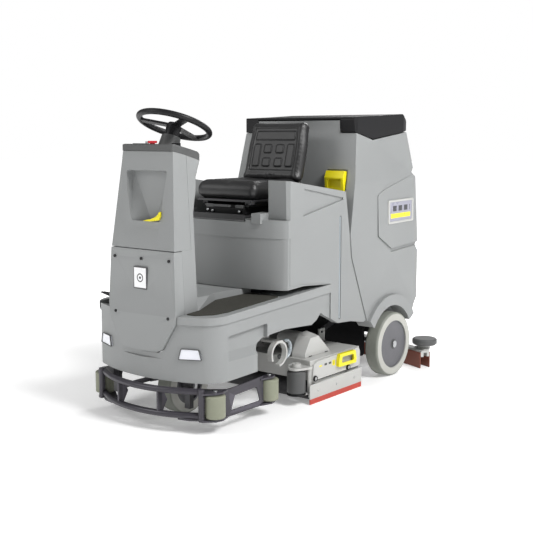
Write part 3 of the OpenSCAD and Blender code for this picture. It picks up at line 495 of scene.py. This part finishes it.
def build_materials():
    return {
        "frame": painted("frame_paint", (0.030, 0.030, 0.032)),
        "steel": metal("satin_steel", (0.52, 0.53, 0.54)),
        "body_grey": moulded("body_plastic", GREY, 0.46),
        "dark_grey": moulded("dark_plastic", DARK_GREY, 0.46),
        "mat": mat_rubber("foot_mat_rubber", (0.036, 0.035, 0.028)),
        "lamp": lens("lamp_lens"),
        "screen": screen("display_glass"),
        "plate": plate_finish("printed_plate"),
        "bumper": painted("bumper_paint", (0.040, 0.037, 0.046), 0.32),
        "roller": rubber("roller_rubber", (0.255, 0.265, 0.195), 0.5),
        "clear_tube": clear_hose("clear_hose", (0.62, 0.68, 0.72)),
        "battery": moulded("battery_case", (0.03, 0.035, 0.04), 0.5),
        "alloy": cast_alloy("cast_alloy", (0.60, 0.61, 0.62)),
        "deck_grey": moulded("deck_plastic", PALE, 0.4, 900.0, 0.00008, 0.05),
        "tyre": wheel_rubber("wheel_rubber", RIM, HUB_EDGE, 0.160),
        "black_plastic": moulded("black_plastic", BLACK, 0.42, edge=1.8, shine=0.24),
        "vinyl": vinyl("seat_vinyl", (0.013, 0.013, 0.0135)),
        "yellow": moulded("yellow_plastic", YELLOW, 0.34, 900.0, 0.00006, 0.05, 1.1),
        "red": moulded("red_plastic", (0.55, 0.018, 0.028), 0.25, 900.0, 0.00004, 0.05),
        "bristle": bristle("brush_filaments", (0.030, 0.030, 0.032)),
        "squeegee_rubber": rubber("blade_rubber", (0.20, 0.055, 0.032), 0.5),
        "side_panel": moulded("drawer_plastic", PALE, 0.4, 900.0, 0.00008, 0.05),
    }


# ---------------------------------------------------------------- carried-over CAD nodes

def smooth_group():
    """A modifier tree that joins split points and shades every face smooth."""
    tree = bpy.data.node_groups.new("join_and_shade", "GeometryNodeTree")
    tree.interface.new_socket("Geometry", in_out="INPUT", socket_type="NodeSocketGeometry")
    tree.interface.new_socket("Geometry", in_out="OUTPUT", socket_type="NodeSocketGeometry")
    start = tree.nodes.new("NodeGroupInput")
    end = tree.nodes.new("NodeGroupOutput")
    merge = tree.nodes.new("GeometryNodeMergeByDistance")
    merge.inputs["Distance"].default_value = 0.00002
    shade = tree.nodes.new("GeometryNodeSetShadeSmooth")
    tree.links.new(start.outputs[0], merge.inputs["Geometry"])
    tree.links.new(merge.outputs[0], shade.inputs["Geometry"])
    tree.links.new(shade.outputs[0], end.inputs[0])
    return tree


def soften(obj, width):
    """Rounds the edges of a machined or moulded solid with modifiers only."""
    joined = obj.modifiers.new("joined", "NODES")
    joined.node_group = JOINED
    flat = obj.modifiers.new("flat_faces", "DECIMATE")
    flat.decimate_type = "DISSOLVE"
    flat.angle_limit = math.radians(0.6)
    bevel = obj.modifiers.new("rounded_edges", "BEVEL")
    bevel.width = width
    bevel.segments = 2
    bevel.limit_method = "ANGLE"
    bevel.angle_limit = math.radians(30.0)
    bevel.use_clamp_overlap = True
    bevel.miter_outer = "MITER_ARC"
    weighted = obj.modifiers.new("even_shading", "WEIGHTED_NORMAL")
    weighted.keep_sharp = True
    weighted.weight = 60


# Width in millimetres of each node's rounded edges, where it isn't the usual 0.8
EDGE = {
    "recovery_tank": 5.0, "fresh_water_tank": 5.0, "platform_body": 5.0, "steering_column": 5.0,
    "column_cover": 4.0, "service_panel": 2.5, "tank_lid": 5.0, "debris_drawer": 2.0,
    "deck_housing": 1.5, "deck_motors": 4.0, "console": 2.0, "foot_mats": 1.5,
    "rear_squeegee": 2.0, "side_squeegee_left": 1.0, "side_squeegee_right": 1.0,
    "tank_latch": 3.0, "drawer_handle": 2.0, "seat_mount": 3.0,
}


def dress_cad(materials):
    """Every carried-over node gets its slot's material and softened edges."""
    slots = {part["node"]: part["material_slot"] for part in frame["record"]["subparts"]}
    for name, obj in NODES.items():
        material = materials[slots[name]]
        if name == "drive_wheel":
            material = wheel_rubber("drive_rubber", DRIVE_RIM, 0.085, 0.124)
        if name in SPECIAL:
            material = SPECIAL[name]
        obj.data.materials.clear()
        obj.data.materials.append(material)
        for polygon in obj.data.polygons:
            polygon.material_index = 0
        soften(obj, EDGE.get(name, 0.8) * MM)


# ---------------------------------------------------------------- mesh helpers

def add_object(name, mesh, material, body):
    obj = bpy.data.objects.new(name, mesh)
    bpy.context.scene.collection.objects.link(obj)
    mesh.materials.clear()
    mesh.materials.append(material)
    for polygon in mesh.polygons:
        polygon.use_smooth = True
    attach(obj, body)
    return obj


def mesh_from(build, name):
    """A mesh made by a function that fills a bmesh."""
    bm = bmesh.new()
    build(bm)
    bmesh.ops.recalc_face_normals(bm, faces=bm.faces)
    mesh = bpy.data.meshes.new(name)
    bm.to_mesh(mesh)
    bm.free()
    return mesh


def rounded_box(bm, half, radius, cuts, place):
    """A box with the half sizes, its edges rounded, moved by the matrix place."""
    made = bmesh.ops.create_cube(bm, size=2.0)
    edges = list({edge for vert in made["verts"] for edge in vert.link_edges})
    bmesh.ops.subdivide_edges(bm, edges=edges, cuts=cuts, use_grid_fill=True)
    verts = [vert for vert in bm.verts if not vert.tag]
    for vert in verts:
        full = Vector(vert.co[i] * half[i] for i in range(3))
        core = Vector(max(radius - half[i], min(half[i] - radius, full[i])) for i in range(3))
        out = full - core
        if out.length > 1e-9:
            full = core + out.normalized() * radius
        vert.co = place @ full
        vert.tag = True


def rect_distance(u, v, rect, radius):
    """Signed distance from a round-cornered rectangle (low u, high u, low v, high v)."""
    du = abs(u - (rect[0] + rect[1]) / 2) - (rect[1] - rect[0]) / 2 + radius
    dv = abs(v - (rect[2] + rect[3]) / 2) - (rect[3] - rect[2]) / 2 + radius
    outside = math.hypot(max(du, 0.0), max(dv, 0.0))
    return outside + min(max(du, dv), 0.0) - radius


def smooth(value, low, high):
    t = max(0.0, min(1.0, (value - low) / (high - low)))
    return t * t * (3 - 2 * t)


# ---------------------------------------------------------------- seat

def puffed(name, mesh, voxel, pressure, cap):
    """The mesh remeshed and blown up as a cloth skin, no point moving further than cap."""
    obj = bpy.data.objects.new(name, mesh)
    bpy.context.scene.collection.objects.link(obj)
    remesh = obj.modifiers.new("even_mesh", "REMESH")
    remesh.mode = "VOXEL"
    remesh.voxel_size = voxel
    depsgraph = bpy.context.evaluated_depsgraph_get()
    even = bpy.data.meshes.new_from_object(obj.evaluated_get(depsgraph))
    obj.modifiers.clear()
    obj.data = even
    start = [vert.co.copy() for vert in even.vertices]
    cloth = obj.modifiers.new("skin", "CLOTH")
    cloth.settings.quality = 4
    cloth.settings.mass = 0.3
    cloth.settings.tension_stiffness = 12
    cloth.settings.compression_stiffness = 12
    cloth.settings.bending_stiffness = 0.6
    cloth.settings.use_pressure = True
    cloth.settings.uniform_pressure_force = pressure
    cloth.settings.effector_weights.gravity = 0.0
    cloth.collision_settings.use_collision = False
    scene = bpy.context.scene
    for step in range(1, SIM_FRAMES + 1):
        scene.frame_set(step)
    depsgraph = bpy.context.evaluated_depsgraph_get()
    blown = obj.evaluated_get(depsgraph).to_mesh()
    for vert, before, after in zip(even.vertices, start, blown.vertices):
        move = after.co - before
        if move.length > cap:
            move = move.normalized() * cap
        vert.co = before + move
    obj.modifiers.clear()
    scene.frame_set(1)
    bpy.data.objects.remove(obj)
    return even


def finer(mesh):
    """The mesh with one level of subdivision applied."""
    obj = bpy.data.objects.new("finer", mesh)
    bpy.context.scene.collection.objects.link(obj)
    step = obj.modifiers.new("finer", "SUBSURF")
    step.levels = 1
    depsgraph = bpy.context.evaluated_depsgraph_get()
    made = bpy.data.meshes.new_from_object(obj.evaluated_get(depsgraph))
    bpy.data.objects.remove(obj)
    return made


SIM_FRAMES = 20
BACK_TILT = math.atan2(72, 276)
BACK_BASE = Vector((0.0, 0.036, 1.028))
BACK_LENGTH = 0.303
BACK_HALF_WIDTH = 0.183
BACK_HALF_DEPTH = 0.027


def back_frame():
    """Backrest frame: x across, y backwards through the pad, z up along it from its foot."""
    return Matrix.Translation(BACK_BASE) @ Matrix.Rotation(-BACK_TILT, 4, "X")


def back_relief(u, w):
    """Height of the embossed pads on the backrest's front, in metres."""
    panel = rect_distance(u, w, (-0.138, 0.138, 0.046, 0.262), 0.016)
    height = -0.0050 * (1 - smooth(panel, -0.004, 0.003))
    height += 0.0016 * math.exp(-(panel / 0.0032) ** 2)
    pads = [(-0.122, 0.122, 0.198, 0.246), (-0.122, -0.078, 0.064, 0.180), (0.078, 0.122, 0.064, 0.180)]
    for column in (-0.060, 0.012):
        for row in (0.064, 0.132):
            pads.append((column, column + 0.048, row, row + 0.046))
    for pad in pads:
        inside = rect_distance(u, w, pad, 0.010)
        height += 0.0062 * (1 - smooth(inside, -0.006, 0.0015))
    return height


def make_backrest():
    frame_at = back_frame()
    centre = frame_at @ Matrix.Translation((0, 0, BACK_LENGTH / 2))
    half = (BACK_HALF_WIDTH, BACK_HALF_DEPTH, BACK_LENGTH / 2)
    mesh = mesh_from(lambda bm: rounded_box(bm, half, 0.0262, 20, centre), "seat_backrest_pad")
    mesh = finer(puffed("back_skin", mesh, 0.005, 4.0, 0.006))
    inverse = frame_at.inverted()
    forward = (frame_at.to_3x3() @ Vector((0, -1, 0))).normalized()
    normals = [vert.normal.copy() for vert in mesh.vertices]
    for vert, normal in zip(mesh.vertices, normals):
        local = inverse @ vert.co
        facing = smooth(normal.dot(forward), 0.35, 0.8)
        roll = smooth(abs(local.x), 0.128, 0.183)
        lift = facing * back_relief(local.x / 1.04, local.z - 0.006)
        taper = 1.0 - 0.06 * smooth(local.z, 0.15, 0.30)
        foot = (1 - smooth(local.z, -0.01, 0.075)) ** 2
        moved = frame_at @ Vector((local.x * (taper + 0.035 * foot), local.y, local.z))
        vert.co = moved + forward * (lift + 0.014 * foot + 0.009 * facing * roll * (1 - roll) * 2)
    pad = add_object("backrest_cover", mesh, MATERIALS["vinyl"], "seat")
    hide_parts("seat_backrest")


def cushion_relief(x, y):
    """Height of the seams on the cushion's top, in metres."""
    panel = rect_distance(x, y, (-0.140, 0.140, -0.268, 0.060), 0.030)
    height = -0.0042 * math.exp(-(panel / 0.0042) ** 2)
    for channel in (-0.180, -0.098):
        if abs(x) < 0.132:
            height -= 0.0032 * math.exp(-((y - channel) / 0.0045) ** 2)
    return height - 0.0060 * (1 - smooth(panel, -0.110, -0.004))


def make_cushion():
    low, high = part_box("seat_cushion")
    middle = (low + high) / 2
    half = ((high.x - low.x) / 2 - 0.006, (high.y - low.y) / 2 - 0.006, (high.z - low.z) / 2 - 0.003)
    place = Matrix.Translation(middle)
    mesh = mesh_from(lambda bm: rounded_box(bm, half, 0.034, 20, place), "seat_cushion_pad")
    mesh = finer(puffed("cushion_skin", mesh, 0.006, 4.0, 0.008))
    normals = [vert.normal.copy() for vert in mesh.vertices]
    for vert, normal in zip(mesh.vertices, normals):
        facing = smooth(normal.z, 0.35, 0.8)
        vert.co.z += facing * (cushion_relief(vert.co.x, vert.co.y) + 0.004)
        low_edge = smooth(-normal.z, 0.6, 0.95)
        vert.co.z = max(vert.co.z, low.z) if low_edge > 0 else vert.co.z
        welt = math.exp(-((vert.co.z - low.z - 0.012) / 0.004) ** 2)
        side = 1 - abs(normal.z)
        vert.co -= Vector((normal.x, normal.y, 0)) * 0.003 * welt * side
    pad = add_object("cushion_cover", mesh, MATERIALS["vinyl"], "seat")
    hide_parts("seat_cushion")


# ---------------------------------------------------------------- detail pieces

def along(axis, u, v, h):
    """A point from two outline coordinates and a height along one axis, in millimetres."""
    order = {"x": (h, u, v), "y": (u, h, v), "z": (u, v, h)}[axis]
    return Vector(order) * MM


def prism(bm, outline, low, high, axis):
    """A flat outline (mm) stood up between low and high (mm) along one axis."""
    rings = [[bm.verts.new(along(axis, u, v, h)) for u, v in outline] for h in (low, high)]
    count = len(outline)
    bm.faces.new(rings[0])
    bm.faces.new(rings[1])
    for i in range(count):
        j = (i + 1) % count
        bm.faces.new([rings[0][i], rings[0][j], rings[1][j], rings[1][i]])


def round_corners(points, radius, steps=5):
    """The outline with every corner rounded."""
    made = []
    count = len(points)
    for i in range(count):
        corner = Vector(points[i])
        before = Vector(points[i - 1]) - corner
        after = Vector(points[(i + 1) % count]) - corner
        reach = min(radius, before.length * 0.45, after.length * 0.45)
        start = corner + before.normalized() * reach
        end = corner + after.normalized() * reach
        for k in range(steps + 1):
            t = k / steps
            made.append(tuple(start * (1 - t) ** 2 + corner * (2 * t * (1 - t)) + end * t * t))
    return made


def band_loop(bm, outline, width, low, high, place):
    """A frame of constant width inside an outline across y (mm), closed all round."""
    count = len(outline)
    centre = sum((Vector(p) for p in outline), Vector((0, 0))) / count
    inner = []
    for point in outline:
        arm = Vector(point) - centre
        inner.append(tuple(centre + arm * (1 - width / arm.length)))
    loops = []
    for ring, h in ((outline, low), (outline, high), (inner, high), (inner, low)):
        loops.append([bm.verts.new(place @ along("y", u, v, h)) for u, v in ring])
    for k in range(4):
        near, far = loops[k], loops[(k + 1) % 4]
        for i in range(count):
            j = (i + 1) % count
            bm.faces.new([near[i], near[j], far[j], far[i]])


def turned(bm, profile, place, steps=64, teeth=0, depth=0.0, toothed=()):
    """A turned piece about local z. profile has (radius, height) in mm and starts and ends on
    the axis; the rows named in toothed are knurled."""
    rows = []
    for row, (radius, height) in enumerate(profile):
        if radius == 0:
            rows.append([bm.verts.new(place @ Vector((0, 0, height * MM)))])
            continue
        ring = []
        for i in range(steps):
            angle = 2 * math.pi * i / steps
            r = radius + (depth * math.cos(teeth * angle) if row in toothed else 0.0)
            point = Vector((r * math.cos(angle), r * math.sin(angle), height)) * MM
            ring.append(bm.verts.new(place @ point))
        rows.append(ring)
    for a, b in zip(rows, rows[1:]):
        for i in range(steps):
            j = (i + 1) % steps
            if len(a) == 1:
                bm.faces.new([a[0], b[i], b[j]])
            elif len(b) == 1:
                bm.faces.new([a[i], a[j], b[0]])
            else:
                bm.faces.new([a[i], a[j], b[j], b[i]])


def tube(bm, path, radius, sides):
    """A round tube along a path of points in metres, closed at both ends."""
    forward = [(path[min(i + 1, len(path) - 1)] - path[max(i - 1, 0)]).normalized()
               for i in range(len(path))]
    side = forward[0].orthogonal().normalized()
    rings = []
    for i, point in enumerate(path):
        side = (side - forward[i] * side.dot(forward[i])).normalized()
        up = forward[i].cross(side)
        ring = []
        for k in range(sides):
            angle = 2 * math.pi * k / sides
            ring.append(bm.verts.new(point + side * (radius * math.cos(angle))
                                     + up * (radius * math.sin(angle))))
        rings.append(ring)
    for near, far in zip(rings, rings[1:]):
        for k in range(sides):
            j = (k + 1) % sides
            bm.faces.new([near[k], near[j], far[j], far[k]])
    bm.faces.new(rings[0])
    bm.faces.new(rings[-1])


def facing(x, y, z, axis):
    """A frame whose local z points along axis, at a place in millimetres."""
    return (Matrix.Translation(Vector((x, y, z)) * MM)
            @ Vector(axis).to_track_quat("Z", "Y").to_matrix().to_4x4())


def detail(name, build, slot, body="chassis", material=None, edge=0.6):
    obj = add_object(name, mesh_from(build, name), material or MATERIALS[slot], body)
    if edge:
        soften(obj, edge * MM)
    return obj


# Places that the details share, in millimetres
DRAWER_FACE = 394
KNOBS = ((-143, 119), (137, 121))
LIP_SCREWS = (-120, 34, 190)
DECK_ROLLER = (345, -223)
LAMP = (257.5, -857)
LAMP_TURN = math.radians(19)
PLATE_CENTRE = Vector((650, 864))
PLATE_HALF = (120, 57)
HUB_FACE = 398


def make_drawer_details():
    """Two knurled knobs with metal centres that lock the drawer, and the gap under its plate."""
    for number, (y, z) in enumerate(KNOBS):
        def knob(bm):
            profile = [(0, 0), (13, 0), (13.5, 1.2), (13.5, 7.5), (12.2, 9), (8.5, 9), (7.2, 6.5),
                       (0, 6.5)]
            turned(bm, profile, facing(DRAWER_FACE + 0.2, y, z, (1, 0, 0)), 96, 16, 0.8, (2, 3))

        def centre(bm):
            turned(bm, [(0, 0), (5.2, 0), (5.2, 2.0), (4.4, 2.8), (2.0, 2.8), (1.6, 1.6), (0, 1.6)],
                   facing(DRAWER_FACE + 6.4, y, z, (1, 0, 0)), 40)
        detail(f"drawer_knob_{number}", knob, "black_plastic", "drawer", edge=0)
        detail(f"drawer_knob_centre_{number}", centre, "steel", "drawer", edge=0)
    detail("drawer_shadow_gap", lambda bm: prism(
        bm, round_corners([(-118, 106), (236, 106), (236, 109.5), (-118, 109.5)], 1.0, 2),
        386, 392, "x"), "black_plastic", "drawer", edge=0.2)


def make_side_squeegee_details():
    """Round-headed screws that hold the side squeegees' lips."""
    for side, body in ((1, "left_side_squeegee"), (-1, "right_side_squeegee")):
        def screws(bm):
            for y in LIP_SCREWS:
                turned(bm, [(0, 0), (6.2, 0), (5.8, 1.4), (3.8, 2.4), (2.4, 2.6), (2.2, 1.2), (0, 1.2)],
                       facing(side * 400.2, y, 58, (side, 0, 0)), 32)
        detail(f"{body}_screws", screws, "steel", body, edge=0)


def make_deck_details():
    """Slots of the motor covers, and the flanges under the guide rollers."""
    for side in (1, -1):
        tag = "left" if side > 0 else "right"
        roller = facing(side * DECK_ROLLER[0], DECK_ROLLER[1], 0, (0, 0, 1))

        def slots(bm):
            for y in (-96, 36):
                slot = [(y - 13, 207.6), (y + 13, 207.6), (y + 13, 211.4), (y - 13, 211.4)]
                prism(bm, round_corners(slot, 1.6, 3), side * 330, side * 335.4, "x")
        detail(f"cover_slots_{tag}", slots, "black_plastic", "deck", edge=0)

        def flange(bm):
            foot = [(0, 48.5), (33, 48.5), (44, 50), (45.5, 52), (45.5, 56.5), (43, 57.6), (0, 57.6)]
            turned(bm, foot, roller, 64)
            turned(bm, [(0, 166.4), (30, 166.4), (34, 167.2), (34, 171.2), (0, 171.6)], roller, 64)
        detail(f"roller_flanges_{tag}", flange, "black_plastic", "deck", edge=0)

        def bolt(bm):
            turned(bm, [(0, 182), (19, 182), (19, 185), (16.5, 187), (11, 187), (10, 183.5), (0, 183.5)],
                   roller, 48)
        detail(f"roller_caps_{tag}", bolt, "deck_grey", "deck", edge=0)


# The hose's loop: its centre, the radius of its bend and its own radius, in millimetres
HOSE_AT = (284, -238, 262)
HOSE_BEND = 43.0
HOSE_R = 8.0
HOSE_STEPS = 36
HOSE_START = math.radians(-125)
HOSE_TURN = math.radians(250)
HOSE_DRIFT = 0.010


def make_deck_hose():
    """The clear feed hose that loops beside the deck, and the two fittings it runs into."""
    centre = Vector(HOSE_AT) * MM
    bend = HOSE_BEND * MM
    path = []
    for i in range(HOSE_STEPS + 1):
        angle = HOSE_START + HOSE_TURN * i / HOSE_STEPS
        drift = HOSE_DRIFT * i / HOSE_STEPS
        path.append(centre + Vector((drift, bend * math.cos(angle), bend * math.sin(angle))))
    hose = detail("deck_hose", lambda bm: tube(bm, path, HOSE_R * MM, 24), "clear_tube", "deck", edge=0)
    for tag, here, ahead in (("foot", path[0], path[1]), ("top", path[-1], path[-2])):
        out = (here - ahead).normalized()

        def fitting(bm):
            turned(bm, [(0, -12), (9.6, -12), (10.4, -11), (10.4, -4), (9.0, -3), (9.0, 2), (11.5, 3),
                        (11.5, 12), (8.0, 13), (8.0, 20), (0, 20)],
                   facing(*(here / MM), out), 48, 6, 0.5, (6, 7))
        detail(f"hose_fitting_{tag}", fitting, "dark_grey", "deck", edge=0)


def make_front_details():
    """Yellow insert in the bin, dark bezels round the headlamps."""
    def insert(bm):
        outer = [(-8, 893), (40, 893), (88, 900), (96, 918), (97, 936), (90, 936)]
        inner = [(84, 926), (70, 914), (40, 903), (10, 898)]
        prism(bm, round_corners(outer + inner, 4, 3), -858, -850, "y")
    detail("bin_insert", insert, "yellow", edge=0.8)
    outline = [(-55, 317), (55, 320), (42, 367), (-43, 366)]
    for side in (1, -1):
        place = (Matrix.Translation(Vector((side * LAMP[0], LAMP[1], 0)) * MM)
                 @ Matrix.Rotation(side * LAMP_TURN, 4, "Z")
                 @ Matrix.Scale(side, 4, (1, 0, 0)))
        tag = "left" if side > 0 else "right"
        detail(f"lamp_bezel_{tag}", lambda bm: band_loop(
            bm, round_corners(outline, 5, 4), 4.0, -1.0, 4, place), "dark_grey", edge=0.5)


def make_painted_shade_sheets():
    """Black sheets under the platform, in front of the axle and the squeegee: painted shade that fills
    the see-through gap above the deck.
    """
    for y, low, high in ((470, 96, 352), (300, 150, 350)):
        half = 276 if y > 400 else 150
        points = [(-half, low), (half, low), (half, high), (-half, high)]
        outline = round_corners(points, 24, 5)
        # painted shade: these black sheets stand where the gap under the platform would only be in
        # shadow
        detail(f"painted_shade_sheet_{y}", lambda bm: prism(bm, outline, y, y + 4, "y"), "frame",
               material=MATERIALS["black_plastic"])


def make_plate_frames():
    """Raised frames round the side name plates."""
    outline = [(530, 806), (770, 810), (770, 922), (530, 918)]
    for side in (1, -1):
        def frame_ring(bm):
            points = round_corners(outline, 8, 5)
            rings = []
            for inset, h in ((-6, 374), (-6, 381), (-4, 384), (3, 384), (6, 380), (6, 374)):
                ring = []
                for point in points:
                    arm = Vector(point) - PLATE_CENTRE
                    u = PLATE_CENTRE.x + arm.x * (1 - inset / PLATE_HALF[0])
                    v = PLATE_CENTRE.y + arm.y * (1 - inset / PLATE_HALF[1])
                    ring.append(bm.verts.new(along("x", u, v, side * h)))
                rings.append(ring)
            count = len(points)
            for k in range(len(rings)):
                near, far = rings[k], rings[(k + 1) % len(rings)]
                for i in range(count):
                    j = (i + 1) % count
                    bm.faces.new([near[i], near[j], far[j], far[i]])
        detail(f"plate_frame_{'left' if side > 0 else 'right'}", frame_ring, "deck_grey", edge=0)


def make_seat_bellows():
    """Rubber bellows of the seat's suspension: folds that alternate out and in."""
    def folds(bm):
        rings = []
        count = 9
        for i in range(count):
            out = 4.0 if i % 2 else -4.0
            z = 891 + (924 - 891) * i / (count - 1)
            half_x, front, back = 124 + out, -330 - out, -40 + out
            corners = [(-half_x, front), (half_x, front), (half_x, back), (-half_x, back)]
            rings.append([bm.verts.new(along("z", u, v, z)) for u, v in round_corners(corners, 26, 6)])
        for near, far in zip(rings, rings[1:]):
            for i in range(len(near)):
                j = (i + 1) % len(near)
                bm.faces.new([near[i], near[j], far[j], far[i]])
        bm.faces.new(rings[0])
        bm.faces.new(rings[-1])
    detail("seat_bellows", folds, "black_plastic", edge=0)

    def brackets(bm):
        for x in (-112, 70):
            prism(bm, round_corners([(x, 921), (x + 46, 921), (x + 46, 936), (x, 936)], 3, 3),
                  -336, -322, "y")
        prism(bm, round_corners([(-60, 924), (40, 924), (40, 935), (-60, 935)], 3, 3), -342, -330, "y")
    detail("seat_brackets", brackets, "dark_grey", edge=0.8)

    def pins(bm):
        for x, z in ((-100, 908), (-70, 904), (96, 906)):
            turned(bm, [(0, 0), (6.5, 0), (6.5, 5), (4.5, 7), (0, 7)], facing(x, -335, z, (0, -1, 0)), 6)
    detail("seat_bolts", pins, "steel", edge=0.3)


def make_wheel_details():
    """Cap and bolts in the middle of each rear wheel."""
    for side, body in ((1, "left_wheel"), (-1, "right_wheel")):
        x = side * HUB_FACE

        def cap(bm):
            place = facing(x, RIM.y / MM, RIM.z / MM, (side, 0, 0))
            turned(bm, [(0, 0), (30, 0), (30, 5), (27, 9), (20, 10.5), (0, 11)], place, 72)
        detail(f"hub_cap_{body}", cap, "dark_grey", body, edge=0)

        def bolts(bm):
            for i in range(5):
                angle = math.radians(90 + 72 * i)
                y = RIM.y / MM + 52 * math.cos(angle)
                z = RIM.z / MM + 52 * math.sin(angle)
                turned(bm, [(0, -6), (7.5, -6), (7.5, 2), (6, 4), (0, 4)],
                       facing(x, y, z, (side, 0, 0)), 6)
        detail(f"hub_bolts_{body}", bolts, "steel", body, edge=0.4)


# ---------------------------------------------------------------- everything, in order

JOINED = smooth_group()
MATERIALS = build_materials()
SPECIAL = {
    "side_squeegee_left": lipped_plate("side_squeegee_plate", 0.026),
    "side_squeegee_right": lipped_plate("side_squeegee_plate_right", 0.026),
    "debris_drawer": drawer_print("drawer_face"),
    "seat_mount": punched_plate("seat_apron", (0.020, 0.020, 0.021)),
}
make_camera()
make_stage()
dress_cad(MATERIALS)
make_backrest()
make_cushion()
make_drawer_details()
make_side_squeegee_details()
make_deck_details()
make_deck_hose()
make_front_details()
make_plate_frames()
make_painted_shade_sheets()
make_seat_bellows()
make_wheel_details()
